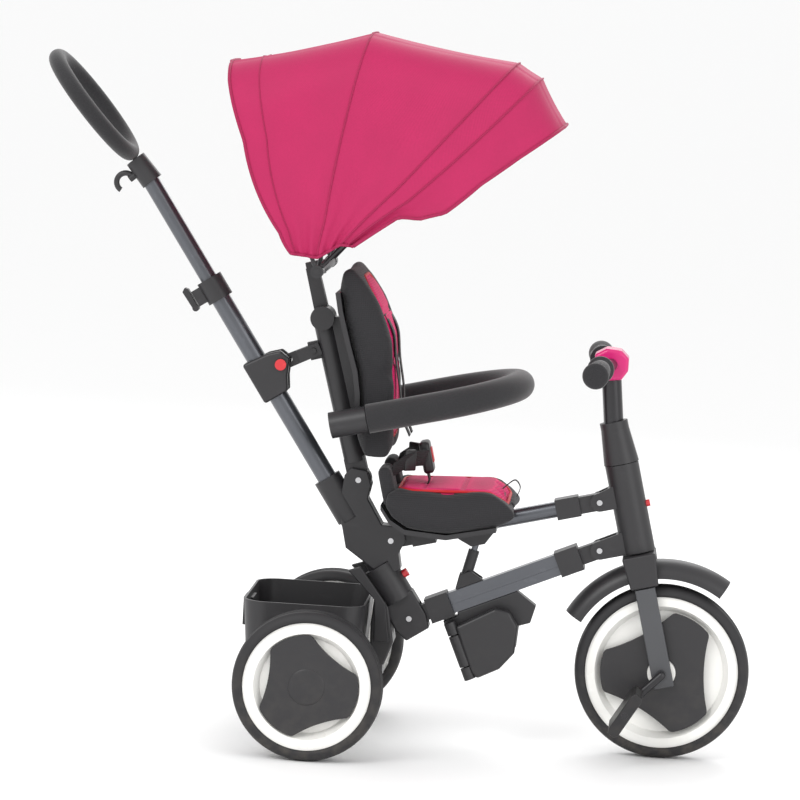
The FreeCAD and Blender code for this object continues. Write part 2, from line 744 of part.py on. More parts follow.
bolt_width = f"{ear_width} + 6"
head_bolt_places = [("lower_bolt_back", "lower_bolt_up"), ("upper_bolt_back", "upper_bolt_up")]
head_bolts = [
    cross_rod(f"HeadBolt{i}", steer, "pin_radius", bolt_width, f"-{back}", up)
    for i, (back, up) in enumerate(head_bolt_places)
]
node(group("HeadBolts", head_bolts), "head_bolts")
rear_bolts = [
    cross_rod("UpperPivotBolt", upper, "pin_radius", bolt_width),
    cross_rod("LowerPivotBolt", lower, "pin_radius", bolt_width),
    cross_rod("ReclineBolt", post, "pin_radius", bolt_width),
    cross_rod("StayPin", pole, 5, 34, 28.6, "stay_height + 3"),
]
node(group("RearBolts", rear_bolts), "frame_pivot_bolts")

# ---------------------------------------------------------------- strut and footrest
foot_x = "b_x + strut_foot_along * cos(lower_slope) - (lower_tube_high / 2 + strut_foot_off) * sin(lower_slope)"
foot_z = "b_z + strut_foot_along * sin(lower_slope) + (lower_tube_high / 2 + strut_foot_off) * cos(lower_slope)"
top_off = "-(tube_radius + 10)"
top_x = f"a_x + strut_top_along * cos(upper_slope) - ({top_off}) * sin(upper_slope)"
top_z = f"a_z + strut_top_along * sin(upper_slope) + ({top_off}) * cos(upper_slope)"
derive("strut_foot_x", foot_x)
derive("strut_foot_z", foot_z)
derive("strut_top_x", top_x)
derive("strut_top_z", top_z)
derive("strut_lean", "atan((strut_foot_x - strut_top_x) / (strut_top_z - strut_foot_z))")
derive("strut_length", "sqrt((strut_foot_x - strut_top_x)^2 + (strut_top_z - strut_foot_z)^2)")
strut = frame("StrutDatum", "strut_foot_x", "strut_foot_z", "strut_lean")

foot_bracket = plate("StrutFootBlock", [
    ("strut_foot_along - 22", "lower_tube_high / 2 + seat_gap"),
    ("strut_foot_along + 22", "lower_tube_high / 2 + seat_gap"),
    ("strut_foot_along + 8", "lower_tube_high / 2 + strut_foot_off + 6"),
    ("strut_foot_along - 8", "lower_tube_high / 2 + strut_foot_off + 6"),
], 26, 2)
put(foot_bracket, lower)
foot_slot = block("StrutFootSlot", lower, 60, "2 * barrel_radius + 1", 60, "strut_foot_along - 30", 0,
                  "lower_tube_high / 2 + 3")
strut_foot = fuse("StrutFoot", [
    cut("StrutFootCheeks", foot_bracket, [foot_slot]), cross_rod("StrutFootPin", strut, 3, 26),
])

barrel_eye = cross_rod("BarrelEye", strut, "barrel_radius - 1", "2 * barrel_radius - 3")
barrel_tube = put(cylinder("BarrelTube", "barrel_radius", "barrel_length"), strut, 0, 0, 0)
barrel_solid = fuse("BarrelSolid", [barrel_eye, barrel_tube])
barrel_bores = [
    cross_rod("BarrelPinBore", strut, "3 + running_gap", 40),
    put(cylinder("BarrelBore", "rod_radius + running_gap", "barrel_length"), strut, 0, 0, 12),
]
node(cut("StrutBarrel", barrel_solid, barrel_bores), "strut_barrel")
rod_shaft = put(cylinder("RodShaft", "rod_radius", "strut_length - 16"), strut, 0, 0, 16)
rod_head = cross_rod("RodHead", strut, 7, 13, 0, "strut_length")
rod_bore = cross_rod("RodBore", strut, 4, 20, 0, "strut_length")
node(cut("StrutRod", fuse("RodSolid", [rod_shaft, rod_head]), [rod_bore]), "strut_rod")

top_block = plate("StrutTopBlock", [
    ("strut_top_along - 26", "tube_radius - 6"), ("strut_top_along - 26", "-tube_radius - 3"),
    ("strut_top_along - 10", "-tube_radius - 17"), ("strut_top_along + 10", "-tube_radius - 17"),
    ("strut_top_along + 26", "-tube_radius - 3"), ("strut_top_along + 26", "tube_radius - 6"),
], "2 * tube_radius + 17", 2)
put(top_block, upper)
top_cuts = [
    put(cylinder("StrutTopTube", "tube_radius + seat_gap", 80), upper, "strut_top_along - 40", 0, 0, "y", 90),
    block("StrutTopSlot", upper, 60, 14.5, 24, "strut_top_along - 30", 0, "-tube_radius - 26"),
]
strut_top = fuse("StrutTop", [
    cut("StrutTopCheeks", top_block, top_cuts), cross_rod("StrutTopPin", strut, 3, 30, 0, "strut_length"),
])

# The foot plates hinge about an axis square to the lower tube, one on each side.
mount_web = plate("FootMount", [
    ("sleeve_start + sleeve_length + 4", "-lower_tube_high / 2 - seat_gap"),
    ("sleeve_start + sleeve_length + 4", "-lower_tube_high / 2 - 5"),
    (44, "-lower_tube_high / 2 - 5"), (44, "-lower_tube_high / 2 - 20"),
    (60, "-lower_tube_high / 2 - 80"), (74, "-lower_tube_high / 2 - 80"),
    (96, "-lower_tube_high / 2 - 44"), (160, "-lower_tube_high / 2 - 50"),
    (176, "-lower_tube_high / 2 - 30"), (158, "-lower_tube_high / 2 - seat_gap"),
], 22, 2)
put(mount_web, lower)

plate_top = "-lower_tube_high / 2 - 6"
for side_name, side in SIDES.items():
    y = f"{side} * foot_hinge_y"
    start_x = "54"
    blade = plate(f"FootBlade{side_name}", [
        (6, -10), ("plate_length - 10", -4), ("plate_length + 8", -16), ("plate_length + 12", -40),
        ("plate_length - 6", -74), ("plate_length - 34", "-plate_drop"), (10, "-plate_drop - 2"), (4, -80),
    ], "plate_wall", 5)
    put(blade, lower, start_x, y, plate_top)
    lug = put(cylinder(f"FootLug{side_name}", "foot_hinge_radius", 46), lower, start_x, y, f"({plate_top}) - 68")
    solid = fuse(f"FootSolid{side_name}", [blade, lug])
    pin_bore = put(cylinder(f"FootBore{side_name}", "3 + running_gap", 120), lower, start_x, y, f"({plate_top}) - 100")
    gaps = []
    for place, low in (("Low", -92.5), ("High", -21.5)):
        gaps.append(put(cylinder(f"FootGap{place}{side_name}", "foot_hinge_radius + 1", 24), lower, start_x, y,
                        f"({plate_top}) + ({low})"))
    node(cut(f"FootPlate{side_name}", solid, [pin_bore] + gaps), f"foot_plate_{side_name}")

knuckles = []
for side_name, side in SIDES.items():
    y = f"{side} * foot_hinge_y"
    for place, low in (("Low", -88), ("High", -20)):
        ring = put(cylinder(f"Knuckle{place}{side_name}", "foot_hinge_radius", 18), lower, 54, y,
                   f"({plate_top}) + ({low})")
        arm = block(f"KnuckleArm{place}{side_name}", lower, 9, "foot_hinge_y", 18, 49.5, f"{y} / 2",
                    f"({plate_top}) + ({low})")
        knuckles += [ring, arm]
foot_pins = [
    put(cylinder(f"FootPin{side_name}", 3, 84), lower, 54, f"{side} * foot_hinge_y", f"({plate_top}) - 87")
    for side_name, side in SIDES.items()
]
node(group("LowerBrackets", [strut_foot, fuse("FootMountSolid", [mount_web] + knuckles + foot_pins)]),
     "lower_tube_brackets")

# ---------------------------------------------------------------- rear structure
spine_tube = put(cylinder("SpineTube", "spine_radius", "socket_low - 40"), pole, 0, 0, 40)
spine_collar = put(cylinder("SpineCollar", "collar_radius", 56), pole, 0, 0, 30)
foot_cheeks = plate("SpineFoot", [
    (-20, -26), (18, -26), (24, -6), (24, 34), (-24, 34), (-26, -6),
], ear_width, 3)
put(foot_cheeks, pole)
socket_outer = put(cylinder("SocketOuter", "socket_radius", "socket_high - socket_low"), pole, 0, 0, "socket_low")
socket_bore = put(cylinder("SocketBore", "lower_pole_radius + running_gap", 90), pole, 0, 0, "socket_low + 10")
spine_solid = fuse("SpineSolid", [spine_tube, spine_collar, foot_cheeks, socket_outer])
foot_notch = block("SpineNotch", lower, 60, "tongue_width + 2 * seat_gap", "2 * (ear_radius + 3)",
                   "-ear_radius - 2", 0, "-ear_radius - 3")
spine_bore = cross_rod("SpineBoltBore", lower, "pin_radius + running_gap", 60)
button_bore = put(cylinder("FoldButtonBore", "6 + running_gap", 24), pole, 6, 0, 58, "y", 90)
node(cut("Spine", spine_solid, [foot_notch, spine_bore, button_bore, socket_bore]), "rear_spine")
fold_button = put(cylinder("FoldButton", 6, 15), pole, "collar_radius - 8", 0, 58, "y", 90)
node(fold_button, "fold_release_button")

bracket_plan = plate("SeatBracketBlock", [
    ("recline_at_x - 20", "recline_at_z + 6"), ("recline_at_x - 10", "recline_at_z + 17"),
    ("recline_at_x + 12", "recline_at_z + 14"), ("recline_at_x + 19", "recline_at_z - 6"),
    ("recline_at_x + 15", "recline_at_z - 26"),
    ("a_x - 14", "a_z + 22"), ("a_x + 4", "a_z + 21"), ("a_x + 18", "a_z + 17"), ("a_x + 21", "a_z + 2"),
    ("a_x + 12", "a_z - 18"), ("a_x + 16", "b_z + 70"), ("a_x - 6", "b_z + 56"),
    ("b_x - 96", "b_z + 96"), ("recline_at_x - 26", "recline_at_z - 40"),
], "2 * cheek_wall + tongue_width + 4", 2)
put(bracket_plan, ground)
clear_spine = put(cylinder("BracketSpineRoom", "spine_radius + seat_gap", 260), pole, 0, 0, -20)
clear_collar = put(cylinder("BracketCollarRoom", "collar_radius + seat_gap", 57), pole, 0, 0, 30)
clear_socket = put(cylinder("BracketSocketRoom", "socket_radius + seat_gap", 90), pole, 0, 0, "socket_low - 0.5")
recline_slot = cross_rod("ReclineSlot", post, 23, "tongue_width + 2 * seat_gap")
recline_way = block("ReclineWay", post, 46, "tongue_width + 2 * seat_gap", 60, -23, 0, 0)
upper_slot = cross_rod("UpperSlot", upper, "ear_radius + 3", "tongue_width + 2 * seat_gap")
upper_way = block("UpperWay", upper, 60, "tongue_width + 2 * seat_gap", "2 * (ear_radius + 3)", 0, 0, "-ear_radius - 3")
bracket_bores = [
    cross_rod("BracketReclineBore", post, "pin_radius + running_gap", 60),
    cross_rod("BracketUpperBore", upper, "pin_radius + running_gap", 60),
]
bracket_cuts = [clear_spine, clear_collar, clear_socket, recline_slot, recline_way, upper_slot, upper_way]
node(cut("SeatBracket", bracket_plan, bracket_cuts + bracket_bores), "seat_bracket")

housing = body("Housing")
housing_plan = polygon(housing, "XY_Plane", "Housing_plan", [
    ("b_x - 34", -20), ("b_x - 34", 20), ("rear_axle_x + 40", 26), ("rear_axle_x + 20", "housing_reach"),
    ("rear_axle_x - 20", "housing_reach"), ("rear_axle_x - 20", "housing_reach - 26"),
    ("rear_axle_x - 10", 0),
    ("rear_axle_x - 20", "-housing_reach + 26"), ("rear_axle_x - 20", "-housing_reach"),
    ("rear_axle_x + 20", "-housing_reach"), ("rear_axle_x + 40", -26),
])
housing_pad = pad(housing, housing_plan, "housing_thick")
doc.recompute()
round_off(housing, housing_pad, 3)
put(housing, rear_axle, "-rear_axle_x", 0, 2)
riser = plate("HousingRiser", [
    ("b_x - 52", "rear_radius + 10"), ("b_x - 32", "rear_radius + 4"), ("b_x - 20", "b_z - 34"),
    ("b_x - 30", "b_z + 20"), ("b_x - 50", "b_z + 34"), ("b_x - 54", "b_z - 10"),
], "2 * collar_radius + 8", 3)
put(riser, ground)
link_plates = []
for side_name, side in SIDES.items():
    link = plate(f"LinkPlate{side_name}", [
        ("b_x - 90", "b_z + 66"), ("b_x - 72", "b_z + 72"), ("b_x - 34", "b_z + 22"), ("b_x - 26", "b_z - 34"),
        ("b_x - 48", "b_z - 34"), ("b_x - 50", "b_z + 26"),
    ], 6, 1.5)
    link_plates.append(put(link, ground, 0, f"{side} * (collar_radius + 3.5)"))
housing_solid = fuse("HousingSolid", [housing, riser] + link_plates)
housing_cuts = [
    cross_rod("HousingAxleBore", rear_axle, "axle_radius + running_gap", 500),
    put(cylinder("HousingCollarRoom", "collar_radius + seat_gap", 120), pole, 0, 0, 30),
    put(cylinder("HousingSpineRoom", 32, 76), pole, 0, 0, -40),
]
node(cut("AxleHousing", housing_solid, housing_cuts), "axle_housing")
node(cross_rod("RearAxle", rear_axle, "axle_radius", "rear_track + tyre_width - 8"), "rear_axle_rod")

basket = body("Basket")
basket_front = "basket_back + basket_length"
half_basket = "basket_width / 2"
outer_plan = polygon(basket, "XY_Plane", "Basket_plan", [
    ("basket_back", f"-({half_basket})"), (basket_front, f"-({half_basket})"),
    (basket_front, half_basket), ("basket_back", half_basket),
])
basket_pad = basket.newObject("PartDesign::Pad", "Basket_pad")
basket_pad.Profile = outer_plan
basket_pad.setExpression("Length", bound("basket_depth"))
basket_pad.TaperAngle = 4
doc.recompute()
upright = lambda e: abs(e.Vertexes[-1].Point.z - e.Vertexes[0].Point.z) > 0.8 * e.Length
corners = round_off(basket, basket_pad, "basket_corner", upright)
shell = basket.newObject("PartDesign::Thickness", "Basket_shell")
top_face = [
    f"Face{i}" for i, face in enumerate(corners.Shape.Faces, start=1)
    if face.CenterOfMass.z > number("basket_depth") - 0.5
]
shell.Base = (corners, top_face)
shell.setExpression("Value", bound("basket_wall"))
shell.Reversed = True
doc.recompute()
put(basket, rear_axle, 0, 0, "basket_floor - rear_radius")
tab = block("BasketTab", rear_axle, 14, 46, 40, "basket_back - 12", 0, "basket_floor - rear_radius + 26")
tab_hole = cross_rod("BasketTabHole", rear_axle, 6, 22, "basket_back - 2", "basket_floor - rear_radius + 36")
basket_inside = block("BasketInside", rear_axle, "basket_length - 2 * basket_wall", "basket_width - 2 * basket_wall",
                      200, "basket_back + basket_wall", 0, "basket_floor - rear_radius + basket_wall")
tab_trim = cut("BasketTabTrim", tab, [basket_inside, tab_hole])
node(fuse("BasketWhole", [basket, tab_trim]), "basket")

# ---------------------------------------------------------------- push pole
lower_outer = put(cylinder("PoleLowerOuter", "lower_pole_radius", "lower_pole_top - socket_low - 12"), pole,
                  0, 0, "socket_low + 11")
lower_bore = put(cylinder("PoleLowerBore", "upper_pole_radius + running_gap", "lower_pole_top"), pole,
                 0, 0, "socket_low")
node(cut("PoleLower", lower_outer, [lower_bore]), "lower_pole")
upper_shaft = put(cylinder("PoleUpper", "upper_pole_radius", "upper_pole_top - upper_pole_low + 14"), pole,
                  0, 0, "upper_pole_low")
upper_shaft_bore = put(cylinder("PoleUpperBore", "upper_pole_radius - tube_wall", "upper_pole_top"), pole,
                       0, 0, "upper_pole_low - 2")
node(cut("PoleUpperCut", upper_shaft, [upper_shaft_bore]), "upper_pole")

clamp_outer = put(cylinder("ClampOuter", "clamp_radius", 34), pole, 0, 0, "lower_pole_top - 20")
clamp_ear = block("ClampEar", pole, 26, 14, 24, -31, 0, "lower_pole_top - 14")
clamp_bores = [
    put(cylinder("ClampBoreLow", "lower_pole_radius + running_gap", 21), pole, 0, 0, "lower_pole_top - 21"),
    put(cylinder("ClampBoreHigh", "upper_pole_radius + 0.09", 40), pole, 0, 0, "lower_pole_top - 4"),
]
node(cut("PoleClamp", fuse("ClampSolid", [clamp_outer, clamp_ear]), clamp_bores), "pole_clamp")
lever = plate("ClampLever", [(-41, -3), (-33, -3), (-32.5, 26), (-36, 30), (-42, 26)], 16, 1.5)
put(lever, pole, 0, 0, "lower_pole_top - 10")
lever_barrel = cross_rod("LeverBarrel", pole, 4.7, 17, -37, "lower_pole_top - 13")
node(fuse("LeverSolid", [lever, lever_barrel]), "clamp_lever")

casing = plate("StayCasingBlock", [
    (-20, -34), (18, -34), (28, -16), (44, 4), (38, 20), (20, 26), (-20, 30),
], 44, 4)
put(casing, pole, 0, 0, "stay_height")
casing_cuts = [
    put(cylinder("StayCasingBore", "lower_pole_radius + running_gap", 100), pole, 0, 0, "stay_height - 50"),
    cross_rod("StayPinBore", pole, "5 + running_gap", 60, 28.6, "stay_height + 3"),
    cross_rod("StayButtonBore", pole, "8 + running_gap", 7, 28.6, "stay_height + 3", "-(22 + 0.3)"),
    block("StaySlotRoom", pole, 60, 24, 100, "lower_pole_radius", 0, "stay_height - 40"),
]
node(cut("StayCasing", casing, casing_cuts), "stay_casing")
node(cross_rod("StayButton", pole, 8, 6, 28.6, "stay_height + 3", "-(22 + 2)"), "stay_button")

neck = bind(doc.addObject("Part::Cone", "HandleNeck"), Radius1="upper_pole_radius + 4", Radius2="15", Height=40)
put(neck, handle, 0, 0, -12)
neck_bore = put(cylinder("NeckBore", "upper_pole_radius + seat_gap", "upper_pole_top"), pole, 0, 0, 15)

loop_path = bind(doc.addObject("Part::Ellipse", "HandlePath"), MajorRadius="handle_half_length",
                 MinorRadius="handle_half_width")
loop_centre = "28 + handle_tube_radius + handle_half_length + seat_gap"
path_turn = f"{placement_text(0, 0, loop_centre, 'y', -90)} * {placement_text(0, 0, 0, 'x', 0)}"
loop_path.setExpression("Placement", f"HandleDatum.Placement * {path_turn}")
loop_ring = bind(doc.addObject("Part::Circle", "HandleRing"), Radius="handle_tube_radius")
ring_turn = placement_text(0, 0, f"{loop_centre} + handle_half_length", "x", 90)
loop_ring.setExpression("Placement", f"HandleDatum.Placement * {ring_turn}")
loop = doc.addObject("Part::Sweep", "HandleLoop")
loop.Sections = [loop_ring]
loop.Spine = (loop_path, ["Edge1"])
loop.Solid = True
loop.Frenet = True
node(loop, "handle_grip")

hook_bend = bind(doc.addObject("Part::Torus", "HookBend"), Radius1=13, Radius2=4)
hook_bend.Angle3 = 200
put(hook_bend, handle, -31, 0, 10, "x", 90)
hook_root = put(cylinder("HookRoot", 5, 12), handle, "-24", 0, 10, "y", 90)
node(cut("HandleNeckCut", fuse("HandleNeckSolid", [neck, hook_bend, hook_root]), [neck_bore]), "handle_neck")

# ---------------------------------------------------------------- backrest
post_tube = put(cylinder("PostTube", "post_radius", "post_length - 26"), post, 0, 0, 26)
post_tongue = block("PostTongue", post, 30, "tongue_width", 32, -15, 0, 0)
post_eye = cross_rod("PostEye", post, 18, "tongue_width")
post_boss = cross_rod("PostBoss", post, 17, 44, 0, "post_length - 4")
stay_ear = block("StayEar", post, 24, 12, 26, -30, 0, 180)
stay_pin_stub = cross_rod("StayEarPin", post, 4, 30, -23, 193)
post_parts = [post_tube, post_tongue, post_eye, post_boss, stay_ear, stay_pin_stub]

PAD_FRONT = [(48, 33), (47, 79), (45, 139), (37, 211), (23, 246), (10, 270), (-7, 293), (-29, 313)]
PAD_BACK = [(-43, 305), (-34, 269), (-29, 243), (-15, 195), (-4, 160), (1, 129), (3, 79), (9, 33)]


def from_recline(points, slip=0):
    """Outline points measured from the recline bolt, slipped along X by a small step."""
    return [(f"recline_at_x + ({x}) + ({slip})", f"recline_at_z + ({z})") for x, z in points]


pad_back_piece = plate("BackPad", from_recline(PAD_FRONT) + from_recline(PAD_BACK), "2 * pad_half_width", 4)
put(pad_back_piece, ground)
node(pad_back_piece, "backrest_pad")

shell_front = PAD_BACK[1:7]
shell_plate = plate(
    "BackShell",
    from_recline(shell_front, "-1") + from_recline(shell_front[::-1], "-1 - shell_wall"),
    "2 * back_half_width - 12", None,
)
put(shell_plate, ground)
shell_rib = plate("BackRib", [
    ("recline_at_x - 5", "recline_at_z + 84"), ("recline_at_x - 8", "recline_at_z + 130"),
    ("recline_at_x - 23", "recline_at_z + 190"), ("recline_at_x - 38", "recline_at_z + 230"),
    ("recline_at_x - 62", "recline_at_z + 230"), ("recline_at_x - 22", "recline_at_z + 84"),
], 22, None)
put(shell_rib, ground)
post_cuts = [
    cross_rod("PostBore", post, "pin_radius + running_gap", 60),
    cross_rod("CrossBarRoom", bar, "cross_bar_radius + running_gap", 400),
]
node(cut("BackFrame", fuse("BackFrameSolid", post_parts + [shell_plate, shell_rib]), post_cuts), "backrest_frame")

derive("ear_at_x", "recline_at_x - 193 * sin(post_lean) - 23 * cos(post_lean)")
derive("ear_at_z", "recline_at_z + 193 * cos(post_lean) - 23 * sin(post_lean)")
derive("pin_at_x", "b_x - (stay_height + 3) * sin(pole_lean) + 28.6 * cos(pole_lean)")
derive("pin_at_z", "b_z + (stay_height + 3) * cos(pole_lean) + 28.6 * sin(pole_lean)")
derive("stay_slope", "atan((ear_at_z - pin_at_z) / (ear_at_x - pin_at_x))")
derive("stay_reach", "sqrt((ear_at_x - pin_at_x)^2 + (ear_at_z - pin_at_z)^2)")
stay_datum = frame("StayDatum", "pin_at_x", "pin_at_z", "stay_slope")
derive("slot_slope", "atan((recline_at_x - pin_at_x) / (pin_at_z - recline_at_z))")
slot_datum = frame("StaySlotDatum", "pin_at_x", "pin_at_z", "slot_slope")
stay_bar = plate("StayBar", [(-1, -10), ("stay_reach + 8", -9), ("stay_reach + 8", 9), (-1, 10)], 8, None)
put(stay_bar, stay_datum)
stay_fork = block("StayFork", stay_datum, 34, 22, 18, "stay_reach - 24", 0, -9)
stay_solid = fuse("StaySolid", [stay_bar, stay_fork])
stay_cuts = [
    block("StaySlot", slot_datum, "stay_travel + 12", 40, "11.2", -12, 0, "-5.6"),
    cross_rod("StaySlotFar", slot_datum, "5 + 0.6", 40, "stay_travel"),
    cross_rod("StayEndBore", stay_datum, "4 + seat_gap", 60, "stay_reach"),
    put(cylinder("StayPostRoom", "post_radius + 1", 400), post, 0, 0, -20),
    block("StayEarRoom", post, 40, 13, 30, -34, 0, 178),
]

# ---------------------------------------------------------------- safety bar
cross_bar = cross_rod("CrossBar", bar, "cross_bar_radius", "2 * ring_radius - 10")
end_sockets = []
for side_name, side in SIDES.items():
    y = f"{side} * ring_radius"
    outer = put(cylinder(f"EndSocket{side_name}", "end_socket_radius", 52), bar, -12, y, 0, "y", 90)
    hollow = put(cylinder(f"EndSocketBore{side_name}", "9 + running_gap", 45), bar, 9, y, 0, "y", 90)
    end_sockets.append(cut(f"EndSocketCut{side_name}", outer, [hollow]))
socket_bridge = fuse("SocketBridge", [cross_bar] + [
    put(cylinder(f"EndSocketBack{side_name}", "end_socket_radius", 20), bar, -12, f"{side} * ring_radius", 0, "y", 90)
    for side_name, side in SIDES.items()
])
node(fuse("EndSockets", [socket_bridge] + end_sockets), "safety_bar_sockets")

ring_bend = bind(doc.addObject("Part::Torus", "RingBend"), Radius1="ring_radius", Radius2="ring_tube_radius")
ring_bend.Angle3 = 180
ring_local = placement_text("ring_reach", 0, 0, "z", -90)
ring_bend.setExpression("Placement", f"SafetyBarDatum.Placement * {ring_local}")
ring_parts = [ring_bend]
for side_name, side in SIDES.items():
    y = f"{side} * ring_radius"
    ring_parts.append(put(cylinder(f"RingArm{side_name}", "ring_tube_radius", "ring_reach - 41"), bar,
                          41, y, 0, "y", 90))
    ring_parts.append(put(cylinder(f"RingPeg{side_name}", 9, 32), bar, 12, y, 0, "y", 90))
node(fuse("SafetyRing", ring_parts), "safety_bar")

# ---------------------------------------------------------------- seat
SEAT_LOW = [(-12, 54), (2, 34), (24, 21), (82, 17), (152, 32)]
SEAT_EDGE = [(188, 53), (168, 74), (150, 88)]
SEAT_TOP = [(4, 82), (-9, 84)]


def from_upper_pivot(points, lift=0):
    return [(f"a_x + ({x})", f"a_z + ({z}) + ({lift})") for x, z in points]


pan = plate(
    "SeatPanPlate",
    from_upper_pivot(SEAT_LOW) + from_upper_pivot(SEAT_LOW[::-1], "seat_pan_wall"),
    "2 * seat_half_width - 24", None,
)
put(pan, ground)
channel_width = "2 * tube_radius + 8"
channel_top = "tube_radius + 4"
tube_room = block("SeatTubeRoom", upper, "upper_length", channel_width, f"60 + {channel_top}", 0, 0, -60)
saddle = block("SeatSaddle", upper, "saddle_length", f"{channel_width} + 14", f"{channel_top} + 7",
               "saddle_start", 0, 0)
pan_shell = cut("SeatPanShell", fuse("SeatPanSolid", [pan, saddle]), [tube_room])
node(fuse("SeatPan", [pan_shell, strut_top]), "seat_pan")
cushion_plate = plate(
    "SeatCushionPlate",
    from_upper_pivot(SEAT_LOW, "seat_pan_wall + 1") + from_upper_pivot(SEAT_EDGE) + from_upper_pivot(SEAT_TOP),
    "2 * seat_half_width", 5,
)
put(cushion_plate, ground)
cushion_room = [
    block("CushionTubeRoom", upper, "upper_length", channel_width, f"60 + {channel_top}", 0, 0, -60),
    block("CushionSaddleRoom", upper, "saddle_length + 2 * seat_gap", f"{channel_width} + 14 + 2 * seat_gap",
          f"{channel_top} + 27 + seat_gap", "saddle_start - seat_gap", 0, -20),
]
node(cut("SeatCushion", cushion_plate, cushion_room), "seat_cushion")

buckle = plate("Buckle", [(-16, -14), (16, -14), (20, 4), (10, 16), (-10, 16), (-20, 4)], 40, 4)
put(buckle, ground, "a_x + 44", 0, "a_z + 122")
crotch = plate("CrotchStrap", [(-3, 0), (3, 0), (3, 28), (-3, 28)], 30, None)
put(crotch, ground, "a_x + 50", 0, "a_z + 87")
pull = bind(doc.addObject("Part::Torus", "PullLoop"), Radius1=13, Radius2=1.8)
put(pull, ground, "a_x + 162", 0, "a_z + 98.5", "x", 90)
node(group("SeatHarness", [fuse("BuckleOnStrap", [buckle, crotch]), pull]), "seat_harness")

# ---------------------------------------------------------------- canopy
def bow_corner(angle, reach, y):
    lean = math.radians(angle)
    return Vector(reach * math.sin(lean), y, reach * math.cos(lean))


def bow_wire(angle, length, half_width, start, corner):
    """A U-shaped bow: two side legs from near the apex, and a rounded top between them."""
    shoulder = length - corner
    diagonal = corner * (1 - math.sqrt(0.5))
    left = [bow_corner(angle, start, half_width), bow_corner(angle, shoulder, half_width)]
    left_mid = bow_corner(angle, length - diagonal, half_width - diagonal)
    left_top = bow_corner(angle, length, half_width - corner)
    mirror = lambda point: Vector(point.x, -point.y, point.z)
    arc = Part.Arc(left[1], left_mid, left_top).toShape()
    arc_back = Part.Arc(mirror(left_top), mirror(left_mid), mirror(left[1])).toShape()
    return [
        Part.makeLine(left[0], left[1]), arc, Part.makeLine(left_top, mirror(left_top)), arc_back,
        Part.makeLine(mirror(left[1]), mirror(left[0])),
    ]


BOWS = ("rear_bow", "middle_bow", "front_bow", "visor_bend", "visor")


def canopy_solid(inset, start, spread):
    """A closed wedge through every bow; spread pushes its first and last bow outwards."""
    wires = []
    for i, bow in enumerate(BOWS):
        push = {0: -spread, len(BOWS) - 1: spread}.get(i, 0)
        angle = number(f"{bow}_angle") + push
        half = number("canopy_half_width") - inset
        edges = bow_wire(angle, number(f"{bow}_length") - inset, half, start, 70)
        foot = Part.makeLine(edges[-1].Vertexes[-1].Point, edges[0].Vertexes[0].Point)
        wires.append(Part.Wire(edges + [foot]))
    return Part.makeLoft(wires, True, True)


outer_canopy = canopy_solid(0, 24, 0)
inner_canopy = canopy_solid(number("canopy_wall"), 18, 1.5)
apex_point = Vector(number("apex_x"), 0, number("apex_z"))
canopy = doc.addObject("Part::Feature", "Canopy")
canopy.Shape = outer_canopy.cut(inner_canopy)
canopy.Placement = FreeCAD.Placement(apex_point, FreeCAD.Rotation())
node(canopy, "canopy_cloth")

def bow(name, label, lean_in, step_in, start):
    """A round wire bent along a bow, standing in from the cloth by the inset and a step."""
    half = number("canopy_half_width - bow_inset") - step_in
    angle = number(f"{name}_angle") + lean_in
    edges = bow_wire(angle, number(f"{name}_length - bow_inset"), half, start, 61 - step_in / 2)
    first = edges[0].Vertexes[0].Point
    direction = edges[0].Vertexes[1].Point - first
    section = Part.Wire(Part.makeCircle(number("bow_radius"), first, direction))
    piece = doc.addObject("Part::Feature", label)
    piece.Shape = Part.Wire(edges).makePipeShell([section], True, False)
    piece.Placement = FreeCAD.Placement(apex_point, FreeCAD.Rotation())
    return piece


for name, step_in in (("front_bow", 8), ("middle_bow", 16)):
    wire = bow(name, f"{name}_wire", 0, step_in, number("bow_eye_radius") - 2)
    eye_y = f"canopy_half_width - bow_inset - {step_in}"
    eyes = [
        cross_rod(f"{name}_eye_{side_name}", apex, "bow_eye_radius", "2 * bow_radius + 1", 0, 0,
                  f"{side} * ({eye_y})")
        for side_name, side in SIDES.items()
    ]
    pin_hole = cross_rod(f"{name}_hole", apex, "apex_pin_radius + running_gap", "2 * canopy_half_width")
    node(cut(f"{name}_cut", fuse(f"{name}_solid", [wire] + eyes), [pin_hole]), f"canopy_{name}")

apex_tube = cross_rod("ApexTube", apex, 8, "2 * (canopy_half_width - bow_inset - 16 - bow_radius - 2)")
apex_pin = cross_rod("ApexPin", apex, "apex_pin_radius", "2 * (canopy_half_width - bow_inset + bow_radius + 1.5)")
upright_bar = plate("CanopyUpright", [
    (-10, 6), (10, 6), (9, "apex_up - post_length + 2"), (-9, "apex_up - post_length + 2"),
], 18, None)
put(upright_bar, post, 0, 0, "post_length")
upright = cut("CanopyUprightCut", upright_bar, [cross_rod("UprightBossRoom", post, 17, 60, 0, "post_length - 4")])
tie = block("CanopyTie", post, "apex_ahead + 8", 18, 20, -8, 0, "apex_up - 10")
rear_wire = bow("rear_bow", "rear_bow_wire", 3, 0, number("bow_eye_radius") - 2)
rear_eyes = [
    cross_rod(f"rear_bow_eye_{side_name}", apex, "bow_eye_radius", "2 * bow_radius + 1", 0, 0,
              f"{side} * (canopy_half_width - bow_inset)")
    for side_name, side in SIDES.items()
]
canopy_solids = [apex_tube, apex_pin, upright, tie, rear_wire] + rear_eyes
node(fuse("CanopyBracket", canopy_solids), "canopy_bracket")

# The stay is cut last, because its slot follows the pin and the ear.
node(cut("Stay", stay_solid, stay_cuts), "backrest_stay")

